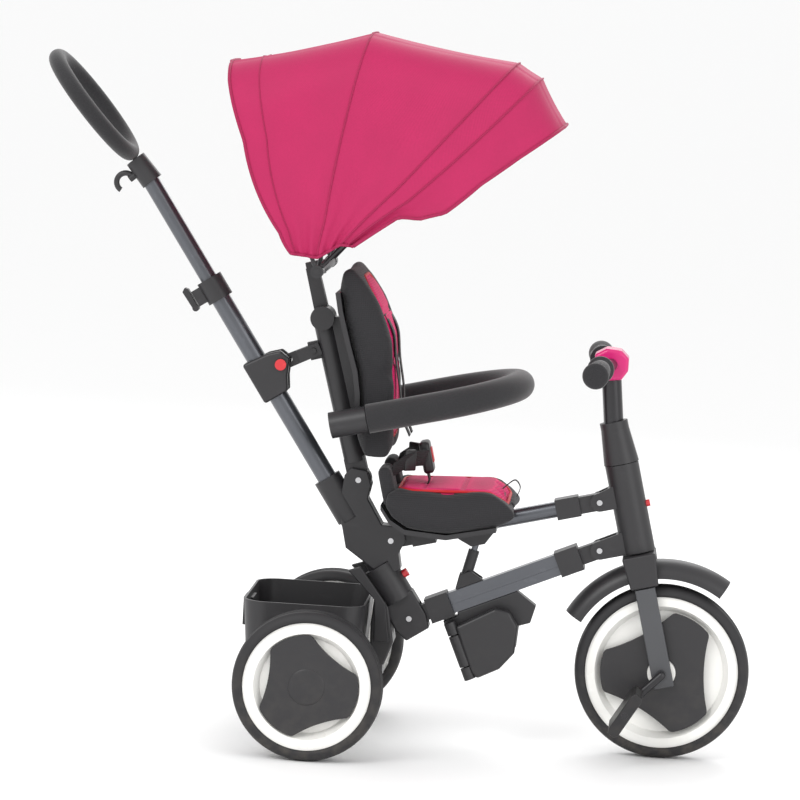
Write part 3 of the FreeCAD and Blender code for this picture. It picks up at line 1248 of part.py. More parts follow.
# ---------------------------------------------------------------- checks and export
doc.recompute()
failed = [item.Name for item in doc.Objects if {"Invalid", "Error"} & set(item.State)]
if failed:
    raise RuntimeError(f"these failed: {failed}")
total = FreeCAD.BoundBox()
os.makedirs("parts", exist_ok=True)
for piece in exported:
    shape = piece.Shape
    if shape.isNull() or not shape.isValid() or not shape.Solids:
        raise RuntimeError(f"{piece.Label} has no valid solid")
    total.add(shape.BoundBox)
    shape.exportStep(os.path.join("parts", piece.Label + ".step"))
print(len(exported), "nodes; box", total)
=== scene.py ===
"""A children's push tricycle: tyres, canopy, cushions, harness, trim and every finish, around the CAD frame."""

from math import acos, cos, hypot, pi, radians, sin, tan

import bmesh
import bpy
from mathutils import Matrix, Vector, noise
from mathutils.bvhtree import BVHTree


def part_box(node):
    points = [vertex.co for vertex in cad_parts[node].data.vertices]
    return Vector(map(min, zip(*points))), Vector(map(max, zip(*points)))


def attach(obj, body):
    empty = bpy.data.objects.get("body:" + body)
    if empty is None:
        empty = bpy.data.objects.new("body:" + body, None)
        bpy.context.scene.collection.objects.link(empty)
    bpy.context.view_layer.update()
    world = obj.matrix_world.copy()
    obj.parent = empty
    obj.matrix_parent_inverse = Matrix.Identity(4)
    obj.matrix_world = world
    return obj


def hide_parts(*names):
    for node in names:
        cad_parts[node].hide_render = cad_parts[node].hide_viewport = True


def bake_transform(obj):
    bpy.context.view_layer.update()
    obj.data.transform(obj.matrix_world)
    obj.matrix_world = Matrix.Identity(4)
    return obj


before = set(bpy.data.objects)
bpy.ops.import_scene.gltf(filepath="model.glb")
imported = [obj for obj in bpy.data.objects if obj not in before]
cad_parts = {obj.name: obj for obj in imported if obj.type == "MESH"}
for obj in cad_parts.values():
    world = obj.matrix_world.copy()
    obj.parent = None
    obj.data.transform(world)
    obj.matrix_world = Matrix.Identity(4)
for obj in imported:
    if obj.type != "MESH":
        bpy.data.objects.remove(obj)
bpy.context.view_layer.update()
MM = 0.001
SIDES = {"right": -1, "left": 1}


# ---------------------------------------------------------------- shader nodes
def linear(red, green, blue):
    """An 8-bit screen colour as the linear values that a shader takes."""
    def one(value):
        share = value / 255
        return share / 12.92 if share <= 0.04045 else ((share + 0.055) / 1.055) ** 2.4
    return (one(red), one(green), one(blue), 1.0)


def add(tree, kind, inputs=None, **settings):
    """Adds a shader node, sets its properties and joins or fills its inputs."""
    node = tree.nodes.new("ShaderNode" + kind)
    for name, value in settings.items():
        setattr(node, name, value)
    for socket, value in (inputs or {}).items():
        if isinstance(value, bpy.types.NodeSocket):
            tree.links.new(value, node.inputs[socket])
        else:
            node.inputs[socket].default_value = value
    return node


def new_group(name, inputs, outputs):
    """A shader node group with float or vector inputs and float outputs."""
    tree = bpy.data.node_groups.new(name, "ShaderNodeTree")
    for socket, value in inputs.items():
        kind = "NodeSocketVector" if value is None else "NodeSocketFloat"
        made = tree.interface.new_socket(socket, in_out="INPUT", socket_type=kind)
        if value is not None:
            made.default_value = value
    for socket in outputs:
        tree.interface.new_socket(socket, in_out="OUTPUT", socket_type="NodeSocketFloat")
    return tree, tree.nodes.new("NodeGroupInput"), tree.nodes.new("NodeGroupOutput")


def make_grain_group():
    """Fine moulded grain, slow tone changes and faint long scratches."""
    tree, given, result = new_group("moulded_grain", {"Vector": None, "Scale": 900.0}, ["Height", "Tone", "Scratch"])
    fine = add(tree, "TexNoise", {"Vector": given.outputs["Vector"], "Scale": given.outputs["Scale"], "Detail": 3.0})
    slow = add(tree, "TexNoise", {"Vector": given.outputs["Vector"], "Scale": 9.0, "Detail": 4.0})
    long_map = add(tree, "Mapping", {"Vector": given.outputs["Vector"], "Scale": (40.0, 900.0, 60.0)})
    long_noise = add(tree, "TexNoise", {"Vector": long_map.outputs[0], "Scale": 1.0, "Detail": 5.0})
    scratch = add(tree, "MapRange", {"Value": long_noise.outputs["Fac"], "From Min": 0.62, "From Max": 0.7})
    tree.links.new(fine.outputs["Fac"], result.inputs["Height"])
    tree.links.new(slow.outputs["Fac"], result.inputs["Tone"])
    tree.links.new(scratch.outputs["Result"], result.inputs["Scratch"])
    return tree


def make_weave_group():
    """A plain weave: two sets of threads that pass over and under each other."""
    tree, given, result = new_group("plain_weave", {"Vector": None, "Threads": 900.0}, ["Height", "Tone"])
    vector = add(tree, "VectorMath", {0: given.outputs["Vector"], "Scale": given.outputs["Threads"]}, operation="SCALE")
    parts = add(tree, "SeparateXYZ", {0: vector.outputs[0]})
    across = add(tree, "Math", {0: parts.outputs["X"]}, operation="SINE")
    along = add(tree, "Math", {0: parts.outputs["Y"]}, operation="SINE")
    upright = add(tree, "Math", {0: parts.outputs["Z"]}, operation="SINE")
    pair = add(tree, "Math", {0: across.outputs[0], 1: along.outputs[0]}, operation="MULTIPLY")
    third = add(tree, "Math", {0: upright.outputs[0], 1: pair.outputs[0]}, operation="ADD")
    slub = add(tree, "TexNoise", {"Vector": given.outputs["Vector"], "Scale": 260.0, "Detail": 2.0})
    whole = add(tree, "Math", {0: third.outputs[0], 1: slub.outputs["Fac"]}, operation="ADD")
    slow = add(tree, "TexNoise", {"Vector": given.outputs["Vector"], "Scale": 14.0, "Detail": 5.0})
    tree.links.new(whole.outputs[0], result.inputs["Height"])
    tree.links.new(slow.outputs["Fac"], result.inputs["Tone"])
    return tree


def make_dust_group():
    """Road dust: thick near the ground, gone a hand's height above it, broken up by noise."""
    tree, given, result = new_group("ground_dust", {"Vector": None, "Reach": 0.16}, ["Mask"])
    parts = add(tree, "SeparateXYZ", {0: given.outputs["Vector"]})
    low = add(tree, "MapRange", {"Value": parts.outputs["Z"], "From Min": given.outputs["Reach"], "From Max": 0.0})
    spots = add(tree, "TexNoise", {"Vector": given.outputs["Vector"], "Scale": 60.0, "Detail": 6.0})
    patch = add(tree, "MapRange", {"Value": spots.outputs["Fac"], "From Min": 0.42, "From Max": 0.7})
    mask = add(tree, "Math", {0: low.outputs["Result"], 1: patch.outputs["Result"]}, operation="MULTIPLY")
    tree.links.new(mask.outputs[0], result.inputs["Mask"])
    return tree


GRAIN = make_grain_group()
WEAVE = make_weave_group()
DUST = make_dust_group()
DUST_COLOUR = linear(168, 158, 144)


def new_material(name):
    material = bpy.data.materials.new(name)
    material.use_nodes = True
    tree = material.node_tree
    tree.nodes.clear()
    shader = tree.nodes.new("ShaderNodeBsdfPrincipled")
    output = tree.nodes.new("ShaderNodeOutputMaterial")
    tree.links.new(shader.outputs["BSDF"], output.inputs["Surface"])
    return material, tree, shader


def placed(tree, group, inputs):
    """Places a shared group in a material."""
    node = tree.nodes.new("ShaderNodeGroup")
    node.node_tree = group
    for socket, value in inputs.items():
        if isinstance(value, bpy.types.NodeSocket):
            tree.links.new(value, node.inputs[socket])
        else:
            node.inputs[socket].default_value = value
    return node


def blended(tree, first, second, factor):
    """A colour between two others; each is a socket or a colour."""
    mix = add(tree, "Mix", data_type="RGBA")
    slots = [socket for socket in mix.inputs if socket.type == "RGBA"]
    tree.links.new(factor, mix.inputs["Factor"])
    for socket, value in zip(slots, (first, second)):
        if isinstance(value, bpy.types.NodeSocket):
            tree.links.new(value, socket)
        else:
            socket.default_value = value
    return [socket for socket in mix.outputs if socket.type == "RGBA"][0]


def toned(colour, share):
    """A colour made lighter or darker by a share."""
    return tuple(min(1.0, part * share) for part in colour[:3]) + (1.0,)


def hard_finish(name, colour, rough, grain_scale=900.0, grain_depth=0.00004, metallic=0.0, coat=0.0, dust=0.05):
    """Moulded plastic, rubber or painted metal: grain, slow tone changes, scuffs and a little ground dust."""
    material, tree, shader = new_material(name)
    place = add(tree, "TexCoord").outputs["Object"]
    grain = placed(tree, GRAIN, {"Vector": place, "Scale": grain_scale})
    dusty = placed(tree, DUST, {"Vector": place, "Reach": 0.17})
    tone = blended(tree, toned(colour, 0.86), toned(colour, 1.14), grain.outputs["Tone"])
    scuff = add(tree, "Math", {0: grain.outputs["Scratch"], 1: 0.22}, operation="MULTIPLY")
    scuffed = blended(tree, tone, toned(colour, 1.7), scuff.outputs[0])
    veil = add(tree, "Math", {0: dusty.outputs["Mask"], 1: dust}, operation="MULTIPLY")
    tree.links.new(blended(tree, scuffed, DUST_COLOUR, veil.outputs[0]), shader.inputs["Base Color"])
    spread = add(tree, "MapRange", {"Value": grain.outputs["Tone"], "To Min": rough - 0.07, "To Max": rough + 0.09})
    raised = add(tree, "Math", {0: spread.outputs["Result"], 1: veil.outputs[0]}, operation="ADD")
    tree.links.new(raised.outputs[0], shader.inputs["Roughness"])
    bump = add(tree, "Bump", {"Height": grain.outputs["Height"], "Distance": grain_depth, "Strength": 0.8})
    tree.links.new(bump.outputs["Normal"], shader.inputs["Normal"])
    shader.inputs["Metallic"].default_value = metallic
    shader.inputs["Coat Weight"].default_value = coat
    shader.inputs["Coat Roughness"].default_value = 0.12
    return material


def foam_finish(name, colour):
    """Closed-cell foam: small pores with painted shade in them, soft sheen and tone changes."""
    material, tree, shader = new_material(name)
    place = add(tree, "TexCoord").outputs["Object"]
    pores = add(tree, "TexVoronoi", {"Vector": place, "Scale": 520.0})
    slow = add(tree, "TexNoise", {"Vector": place, "Scale": 22.0, "Detail": 5.0})
    # Painted shade: the colour darkens to 0.6 in the middle of each pore, where the bump dips into a pit.
    painted_pore_shade = add(tree, "MapRange", {"Value": pores.outputs["Distance"], "From Min": 0.1, "From Max": 0.6})
    base = blended(tree, toned(colour, 0.8), toned(colour, 1.2), slow.outputs["Fac"])
    tree.links.new(blended(tree, toned(colour, 0.6), base, painted_pore_shade.outputs["Result"]), shader.inputs["Base Color"])
    shader.inputs["Roughness"].default_value = 0.82
    shader.inputs["Sheen Weight"].default_value = 0.25
    shader.inputs["Sheen Roughness"].default_value = 0.5
    bump = add(tree, "Bump", {"Height": pores.outputs["Distance"], "Distance": 0.0005, "Strength": 0.55})
    tree.links.new(bump.outputs["Normal"], shader.inputs["Normal"])
    return material


def cloth_finish(name, colour, threads=2600.0, from_uv=False, rough=0.86, depth=0.00016, sheen=0.35):
    """Woven cloth; its pattern follows the piece's own UV map where it has one."""
    material, tree, shader = new_material(name)
    source = add(tree, "TexCoord").outputs
    place = source["UV"] if from_uv else source["Object"]
    weave = placed(tree, WEAVE, {"Vector": place, "Threads": threads})
    base = blended(tree, toned(colour, 0.84), toned(colour, 1.16), weave.outputs["Tone"])
    # Painted shade: the colour darkens to 0.72 where the weave's height is low, between the threads.
    painted_thread_shade = add(tree, "MapRange", {"Value": weave.outputs["Height"], "From Min": -0.6, "From Max": 1.4})
    tree.links.new(blended(tree, toned(colour, 0.72), base, painted_thread_shade.outputs["Result"]), shader.inputs["Base Color"])
    shader.inputs["Roughness"].default_value = rough
    shader.inputs["Sheen Weight"].default_value = sheen
    shader.inputs["Sheen Roughness"].default_value = 0.45
    bump = add(tree, "Bump", {"Height": weave.outputs["Height"], "Distance": depth, "Strength": 0.6})
    tree.links.new(bump.outputs["Normal"], shader.inputs["Normal"])
    return material


finishes = {
    "plastic": hard_finish("charcoal_plastic", linear(40, 39, 41), 0.4, 1100.0, 0.00006),
    "black_plastic": hard_finish("black_plastic", linear(26, 25, 27), 0.36, 900.0, 0.00005),
    "tube": hard_finish("grey_tube_paint", linear(92, 94, 99), 0.3, 1500.0, 0.00001, 0.8, 0.3, 0.05),
    "fork": hard_finish("fork_plastic", linear(72, 73, 76), 0.36, 1100.0, 0.00004),
    "bright": hard_finish("bright_steel", linear(190, 190, 192), 0.24, 1500.0, 0.00001, 1.0, 0.0, 0.1),
    "bar": hard_finish("bar_paint", linear(34, 33, 36), 0.3, 1400.0, 0.00002, 0.3, 0.3, 0.0),
    "rubber": hard_finish("tyre_rubber", linear(34, 33, 35), 0.62, 700.0, 0.00012, 0.0, 0.0, 0.12),
    "rim": hard_finish("white_rim_plastic", linear(244, 242, 237), 0.28, 1200.0, 0.00002, 0.0, 0.25, 0.04),
    "red": hard_finish("red_button_plastic", linear(206, 44, 52), 0.34, 1200.0, 0.00002, 0.0, 0.2, 0.0),
    "magenta": hard_finish("magenta_plastic", linear(205, 20, 110), 0.3, 1200.0, 0.00002, 0.0, 0.3, 0.0),
    "foam": foam_finish("black_foam", linear(30, 29, 32)),
    "canopy": cloth_finish("canopy_cloth_weave", linear(184, 14, 86), 2400.0, True, 0.7, 0.0001, 0.04),
    "binding": cloth_finish("canopy_binding_tape", linear(166, 8, 76), 3400.0, False, 0.7, 0.00016, 0.05),
    "grey_cloth": cloth_finish("seat_side_cloth", linear(36, 35, 38), 2300.0, False, 0.84, 0.00016, 0.12),
    "pink_cloth": cloth_finish("seat_top_cloth", linear(222, 8, 104), 2300.0, False, 0.8, 0.00016, 0.04),
    "piping": cloth_finish("red_piping_tape", linear(205, 14, 30), 3400.0, False, 0.6, 0.00016, 0.05),
    "webbing": cloth_finish("black_webbing", linear(22, 22, 24), 2100.0, False, 0.74, 0.00025, 0.08),
}

NODE_FINISHES = {
    "plastic": [
        "rear_spine", "seat_bracket", "axle_housing", "basket", "pole_clamp", "stay_casing", "upper_tube_ends",
        "lower_tube_ends", "lower_tube_brackets", "strut_barrel", "head_tube", "mudguard", "fork_crown",
        "backrest_frame", "safety_bar_sockets", "canopy_bracket", "seat_pan", "foot_plate_right",
        "foot_plate_left", "stem_sleeve", "clamp_lever", "handle_neck", "backrest_stay",
        "rear_cover_right", "rear_cover_left", "front_wheel_covers",
    ],
    "black_plastic": ["pedal_right", "pedal_left", "steering_bushes"],
    "tube": ["upper_tube", "lower_tube", "upper_pole", "lower_pole", "strut_rod"],
    "fork": ["fork_legs"],
    "bar": ["handlebar", "steerer_and_stem", "canopy_middle_bow", "canopy_front_bow", "crank_axle"],
    "bright": ["rear_axle_rod", "head_bolts", "frame_pivot_bolts"],
    "rim": ["front_rim", "rear_rim_right", "rear_rim_left"],
    "red": ["fold_release_button", "stay_button", "steering_lock_button"],
    "magenta": ["handlebar_cover"],
    "foam": ["safety_bar", "handle_grip"],
}
for finish, names in NODE_FINISHES.items():
    for name in names:
        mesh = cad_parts[name].data
        mesh.materials.clear()
        mesh.materials.append(finishes[finish])


# ---------------------------------------------------------------- mesh helpers
def finish_piece(piece, finish, body, replaced=(), smooth=True):
    """Gives a piece its finish, its body and the CAD nodes it stands for."""
    piece.data.materials.append(finishes[finish])
    if smooth:
        piece.data.shade_smooth()
    if body:
        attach(piece, body)
    if replaced:
        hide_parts(*replaced)
    return piece


def piece_from(bm, name):
    """Turns a bmesh into a piece whose faces point outwards."""
    bmesh.ops.remove_doubles(bm, verts=bm.verts, dist=1e-6)
    bmesh.ops.recalc_face_normals(bm, faces=bm.faces)
    mesh = bpy.data.meshes.new(name)
    bm.to_mesh(mesh)
    bm.free()
    piece = bpy.data.objects.new(name, mesh)
    bpy.context.scene.collection.objects.link(piece)
    return piece


def turned_ring(bm, profile, centre, axis, steps):
    """Spins a closed or axis-touching profile of (along, radius) pairs round an axis."""
    axis = Vector(axis).normalized()
    side = axis.orthogonal().normalized()
    verts = [bm.verts.new(Vector(centre) + axis * along + side * radius) for along, radius in profile]
    edges = [bm.edges.new(pair) for pair in zip(verts, verts[1:])]
    if profile[0][1] > 1e-6:
        edges.append(bm.edges.new((verts[-1], verts[0])))
    bmesh.ops.spin(
        bm, geom=verts + edges, cent=Vector(centre), axis=axis, angle=2 * pi, steps=steps, use_merge=True)


def turned_piece(name, profile, centre, axis, steps=48):
    bm = bmesh.new()
    turned_ring(bm, profile, centre, axis, steps)
    return piece_from(bm, name)


def tube_along(name, points, radius, closed=False, flat=1.0, resolution=6):
    """A round or flattened tube along a line of points."""
    curve = bpy.data.curves.new(name + "_line", "CURVE")
    curve.dimensions = "3D"
    curve.bevel_depth = radius
    curve.bevel_resolution = resolution
    curve.use_fill_caps = not closed
    spline = curve.splines.new("POLY")
    spline.points.add(len(points) - 1)
    for point, place in zip(spline.points, points):
        point.co = (*place, 1.0)
    spline.use_cyclic_u = closed
    holder = bpy.data.objects.new(name + "_line", curve)
    bpy.context.scene.collection.objects.link(holder)
    mesh = bpy.data.meshes.new_from_object(holder)
    bpy.data.objects.remove(holder)
    bm = bmesh.new()
    bm.from_mesh(mesh)
    bpy.data.meshes.remove(mesh)
    return piece_from(bm, name)


def ribbon_along(name, points, across, width, thick):
    """A flat strap along a line of points; across gives its width direction."""
    bm = bmesh.new()
    half = Vector(across).normalized() * width / 2
    first = [bm.verts.new(points[0] - half), bm.verts.new(points[0] + half)]
    edge = bm.edges.new(first)
    for here, following in zip(points, points[1:]):
        made = bmesh.ops.extrude_edge_only(bm, edges=[edge])["geom"]
        edge = [item for item in made if isinstance(item, bmesh.types.BMEdge)][0]
        bmesh.ops.translate(bm, verts=edge.verts, vec=following - here)
    bmesh.ops.recalc_face_normals(bm, faces=bm.faces)
    bmesh.ops.solidify(bm, geom=bm.faces[:], thickness=thick)
    piece = piece_from(bm, name)
    rounding = piece.modifiers.new("edges", "BEVEL")
    rounding.width = thick * 0.3
    rounding.segments = 2
    return piece


def smooth_line(points, steps):
    """Points on a smooth curve through the given ones."""
    line = []
    padded_points = [points[0]] + list(points) + [points[-1]]
    for before, start, end, after in zip(padded_points, padded_points[1:], padded_points[2:], padded_points[3:]):
        for i in range(steps):
            t = i / steps
            line.append(0.5 * (
                2 * start + (end - before) * t + (2 * before - 5 * start + 4 * end - after) * t * t
                + (3 * start - before - 3 * end + after) * t ** 3))
    return line + [points[-1]]


# ---------------------------------------------------------------- tyres
def make_tyre(name, body, node, grooves):
    """A solid tyre: rounded shoulders, a raised side band and grooves round the tread."""
    low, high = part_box(node)
    centre = (low + high) / 2
    radius = (high.z - low.z) / 2
    half = (high.y - low.y) / 2
    seat = radius - 15.6 * MM
    profile = [(-half + 1 * MM, seat), (-half, radius - 12 * MM), (-half + 0.6 * MM, radius - 9 * MM)]
    profile += [(-half + 2.2 * MM, radius - 5.6 * MM), (-half + 5 * MM, radius - 2.6 * MM)]
    tread = half - 7 * MM
    pitch = 2 * tread / (grooves + 1)
    rows = [(-tread, radius - 1.6 * MM)]
    for i in range(1, grooves + 1):
        place = -tread + i * pitch
        crown = radius - 1.4 * MM * (place / tread) ** 2
        rows += [(place - 1.5 * MM, crown), (place - 0.9 * MM, crown - 1.6 * MM)]
        rows += [(place + 0.9 * MM, crown - 1.6 * MM), (place + 1.5 * MM, crown)]
    rows.append((tread, radius - 1.6 * MM))
    profile += rows
    profile += [(half - 5 * MM, radius - 2.6 * MM), (half - 2.2 * MM, radius - 5.6 * MM)]
    profile += [(half - 0.6 * MM, radius - 9 * MM), (half, radius - 12 * MM), (half - 1 * MM, seat)]
    piece = turned_piece(name, profile, centre, (0, 1, 0), 128)
    finish_piece(piece, "rubber", body, [node])
    return piece


make_tyre("front_tyre_treaded", "front_wheel", "front_tyre", 5)
for side_name in SIDES:
    make_tyre(f"rear_tyre_treaded_{side_name}", f"rear_wheel_{side_name}", f"rear_tyre_{side_name}", 5)


# ---------------------------------------------------------------- screws and caps
def dome_profile(radius, height, recess):
    """A domed head with a round recess in its middle."""
    outer = [(0, radius), (height * 0.35, radius), (height * 0.75, radius * 0.86), (height, radius * 0.6)]
    return [(0, 0)] + outer + [(height, recess), (height * 0.35, recess * 0.9), (height * 0.35, 0)]


def make_screw(name, centre, side, radius, body, finish="bright", height=2.4 * MM):
    """A domed socket screw that faces out to one side."""
    profile = dome_profile(radius, height, radius * 0.36)
    piece = turned_piece(name, profile, centre, (0, side, 0), 32)
    return finish_piece(piece, finish, body)


def node_ends(node, side):
    """The middle of a node's face on one side."""
    low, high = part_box(node)
    return Vector(((low.x + high.x) / 2, high.y if side > 0 else low.y, (low.z + high.z) / 2))


for side_name, side in SIDES.items():
    cap_profile = [(0, 0), (0, 26 * MM), (1.0 * MM, 26 * MM), (2.0 * MM, 24 * MM), (2.6 * MM, 12 * MM), (2.8 * MM, 0)]
    rear_low, rear_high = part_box(f"rear_rim_{side_name}")
    hub = (rear_low + rear_high) / 2
    outer_y = rear_high.y if side > 0 else rear_low.y
    cap = turned_piece(
        f"rear_hub_cap_{side_name}", cap_profile, (hub.x, outer_y - side * 1.2 * MM, hub.z), (0, side, 0), 40)
    finish_piece(cap, "plastic", f"rear_wheel_{side_name}")

# ---------------------------------------------------------------- handlebar grips
grip_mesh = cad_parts["handlebar_grips"].data
for side_name, side in SIDES.items():
    points = [v.co for v in grip_mesh.vertices if v.co.y * side > 0]
    far = max(abs(p.y) for p in points)
    near = min(abs(p.y) for p in points)
    tip = [p for p in points if abs(p.y) > far - 4 * MM]
    root = [p for p in points if abs(p.y) < near + 4 * MM]
    tip_middle = sum(tip, Vector()) / len(tip)
    root_middle = sum(root, Vector()) / len(root)
    axis = (tip_middle - root_middle).normalized()
    length = (tip_middle - root_middle).length + 6 * MM
    profile = [(0, 11.4 * MM), (0, 18 * MM), (1.4 * MM, 19 * MM), (4 * MM, 18 * MM), (6 * MM, 14.2 * MM)]
    ribs = 9
    for i in range(ribs):
        start = 10 * MM + i * (length - 34 * MM) / ribs
        pitch = (length - 34 * MM) / ribs
        swell = 14 * MM + 1.6 * MM * sin(pi * i / (ribs - 1))
        profile += [(start, swell), (start + pitch * 0.55, swell), (start + pitch * 0.7, swell - 0.9 * MM)]
        profile += [(start + pitch * 0.88, swell - 0.9 * MM)]
    profile += [(length - 18 * MM, 15 * MM), (length - 12 * MM, 17.4 * MM), (length - 5 * MM, 18.4 * MM)]
    profile += [(length - 1.4 * MM, 17 * MM), (length, 13.6 * MM), (length, 0.0001 * MM)]
    bm = bmesh.new()
    closed = [(0, 0.0)] + profile[:-1] + [(length, 0.0)]
    turned_ring(bm, closed, root_middle - axis * 3 * MM, axis, 48)
    grip = piece_from(bm, f"grip_{side_name}")
    finish_piece(grip, "foam", "steering", ["handlebar_grips"])

# ---------------------------------------------------------------- canopy
APEX = Vector((-108.6, 0, 671.3)) * MM
CANOPY_HALF = 130.5 * MM
CORNER = 70 * MM
SAG = 5 * MM
# Each bow: reach, where its cloth starts as a share of the reach, and its angle from upright at those shares.
CANOPY_BOWS = [
    (314, [(0.14, -57), (0.24, -46), (0.66, -32), (0.93, -28), (1.0, -26.5)]),
    (335, [(0.06, 0), (0.2, 6), (1.0, 9.3)]),
    (394, [(0.13, 38), (0.4, 41), (1.0, 40.6)]),
    (403, [(0.14, 45), (0.4, 49), (1.0, 46.1)]),
    (393, [(0.16, 52), (0.35, 53), (0.41, 59.5), (0.5, 62), (0.66, 58.6), (0.82, 57.3), (1.0, 56.5)]),
]
BOW_PLACES = [0.0, 0.40, 0.76, 0.82, 1.0]


def between(table, value):
    """A value read from a short table of pairs, with straight lines between them."""
    if value <= table[0][0]:
        return table[0][1]
    for (low, first), (high, second) in zip(table, table[1:]):
        if value <= high:
            return first + (second - first) * (value - low) / (high - low)
    return table[-1][1]


def bow_point(bow, v):
    """A point of one bow's cloth: v is 0 at the middle of the top and 1 at the lower hem."""
    reach, angles = bow
    reach *= MM
    start = angles[0][0] * reach
    flat = CANOPY_HALF - CORNER
    arc = CORNER * pi / 2
    side = reach - CORNER - start
    run = v * (flat + arc + side)
    if run < flat:
        out, y = reach + 3 * MM * (1 - (run / CANOPY_HALF) ** 2), run
    elif run < flat + arc:
        turn = (run - flat) / CORNER
        out, y = reach - CORNER * (1 - cos(turn)), flat + CORNER * sin(turn)
    else:
        out, y = reach - CORNER - (run - flat - arc), CANOPY_HALF
    angle = radians(between(angles, out / reach))
    return Vector((out * sin(angle), y, out * cos(angle))), out


def canopy_point(t, w, lift=0.0):
    """A point of the cloth: t runs from the rear hem to the visor's edge, w round the hoop from side to side."""
    v = abs(2 * w - 1)
    side = 1 if w > 0.5 else -1
    last = len(BOW_PLACES) - 2
    i = max(k for k in range(last + 1) if t >= BOW_PLACES[k] - 1e-9)
    share = (t - BOW_PLACES[i]) / (BOW_PLACES[i + 1] - BOW_PLACES[i])
    first, out_first = bow_point(CANOPY_BOWS[i], v)
    second, out_second = bow_point(CANOPY_BOWS[i + 1], v)
    place = first.lerp(second, share)
    out = out_first + (out_second - out_first) * share
    width = BOW_PLACES[i + 1] - BOW_PLACES[i]
    dip = SAG * sin(pi * share) * min(1.0, width / 0.3)
    top = max(0.0, 1 - place.y / CANOPY_HALF)
    direction = Vector((place.x, 0, place.z)).normalized()
    ripple = noise.noise(Vector((t * 7, w * 9, 3.0))) * 1.6 * MM
    place -= direction * (dip * top + ripple * 0.5 - lift * top)
    near = max(0.0, 1 - out / (150 * MM))
    fold = sin(t * 46) * 2.2 * MM * near
    place.y += -dip * 0.55 * (1 - top) + ripple + fold * (1 - top) + lift * (1 - top)
    place.y = min(place.y, CANOPY_HALF + 3 * MM)
    return APEX + Vector((place.x, place.y * side, place.z))


def grid_sheet(name, rows, columns, place):
    """A flat grid with a UV map, each of its points moved to its place on the finished sheet."""
    bm = bmesh.new()
    bm.loops.layers.uv.new("cloth")
    bmesh.ops.create_grid(bm, x_segments=rows, y_segments=columns, size=0.5, calc_uvs=True)
    for v in bm.verts:
        v.co = place(v.co.x + 0.5, v.co.y + 0.5)
    mesh = bpy.data.meshes.new(name)
    bm.to_mesh(mesh)
    bm.free()
    piece = bpy.data.objects.new(name, mesh)
    bpy.context.scene.collection.objects.link(piece)
    return piece


def with_canopy(piece):
    """Bakes a piece's placement into its mesh."""
    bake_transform(piece)


canopy = grid_sheet("canopy_fabric", 120, 160, canopy_point)
for loop in canopy.data.uv_layers.active.data:
    loop.uv = (loop.uv[0] * 0.52, loop.uv[1] * 0.86)
canopy_wall = canopy.modifiers.new("cloth thickness", "SOLIDIFY")
canopy_wall.thickness = 1.1 * MM
canopy_wall.offset = -1
finish_piece(canopy, "canopy", None, ["canopy_cloth"])
with_canopy(canopy)

for name, t, radius in (
    ("rear_hem", 0.0, 2.2), ("rear_band_stitch", 0.09, 0.9), ("middle_seam", 0.40, 1.3),
    ("front_seam", 0.76, 1.3), ("visor_seam", 0.82, 1.3), ("visor_hem", 1.0, 2.4),
):
    line = [canopy_point(t, w / 120, 0.3 * MM) for w in range(121)]
    trim = tube_along(f"canopy_{name}", line, radius * MM)
    finish_piece(trim, "binding", None)
    with_canopy(trim)
for side_name, w in (("right", 0.0), ("left", 1.0)):
    line = [canopy_point(t / 80, w, 0.3 * MM) for t in range(81)]
    trim = tube_along(f"canopy_lower_hem_{side_name}", line, 2.2 * MM)
    finish_piece(trim, "binding", None)
    with_canopy(trim)


# ---------------------------------------------------------------- padded seat and backrest
def swollen(name, node, shrink, voxel, cap, pressure=4.0):
    """A pad blown up as cloth from a CAD solid that starts slightly smaller."""
    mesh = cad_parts[node].data.copy()
    low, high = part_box(node)
    middle = (low + high) / 2
    bm = bmesh.new()
    bm.from_mesh(mesh)
    bmesh.ops.remove_doubles(bm, verts=bm.verts, dist=1e-5)
    size = high - low
    scale = Vector([(side - 2 * shrink) / side for side in size])
    bmesh.ops.scale(bm, vec=scale, verts=bm.verts, space=Matrix.Translation(-middle))
    bm.to_mesh(mesh)
    bm.free()
    mesh.materials.clear()
    pad = bpy.data.objects.new(name, mesh)
    bpy.context.scene.collection.objects.link(pad)
    remesh = pad.modifiers.new("voxels", "REMESH")
    remesh.mode = "VOXEL"
    remesh.voxel_size = voxel
    bpy.context.view_layer.update()
    applied = bpy.data.meshes.new_from_object(pad.evaluated_get(bpy.context.evaluated_depsgraph_get()))
    pad.modifiers.clear()
    pad.data = applied
    rest = [v.co.copy() for v in applied.vertices]
    cloth = pad.modifiers.new("cloth", "CLOTH")
    cloth.settings.use_pressure = True
    cloth.settings.uniform_pressure_force = pressure
    cloth.settings.effector_weights.gravity = 0
    cloth.settings.tension_stiffness = 30
    cloth.settings.compression_stiffness = 30
    cloth.settings.bending_stiffness = 2
    cloth.point_cache.frame_start = 1
    cloth.point_cache.frame_end = 20
    for step in range(1, 21):
        bpy.context.scene.frame_set(step)
    blown = bpy.data.meshes.new_from_object(pad.evaluated_get(bpy.context.evaluated_depsgraph_get()))
    pad.modifiers.clear()
    for vertex, start, end in zip(applied.vertices, rest, blown.vertices):
        move = end.co - start
        vertex.co = start + move * min(1.0, cap / max(move.length, 1e-9))
    bpy.data.meshes.remove(blown)
    bpy.context.scene.frame_set(1)
    return pad


def soften(pad, passes):
    """Smooths away the voxel steps of a pad."""
    bm = bmesh.new()
    bm.from_mesh(pad.data)
    for _ in range(passes):
        bmesh.ops.smooth_vert(bm, verts=bm.verts, factor=0.5, use_axis_x=True, use_axis_y=True, use_axis_z=True)
    bm.to_mesh(pad.data)
    bm.free()


def sew_channel(pad, distance, reach, depth):
    """Presses a sewn channel into a pad: distance gives how far a point is from the seam."""
    for vertex in pad.data.vertices:
        away = distance(vertex.co)
        if away is not None and abs(away) < reach:
            vertex.co -= vertex.normal * depth * cos(away / reach * pi / 2) ** 2


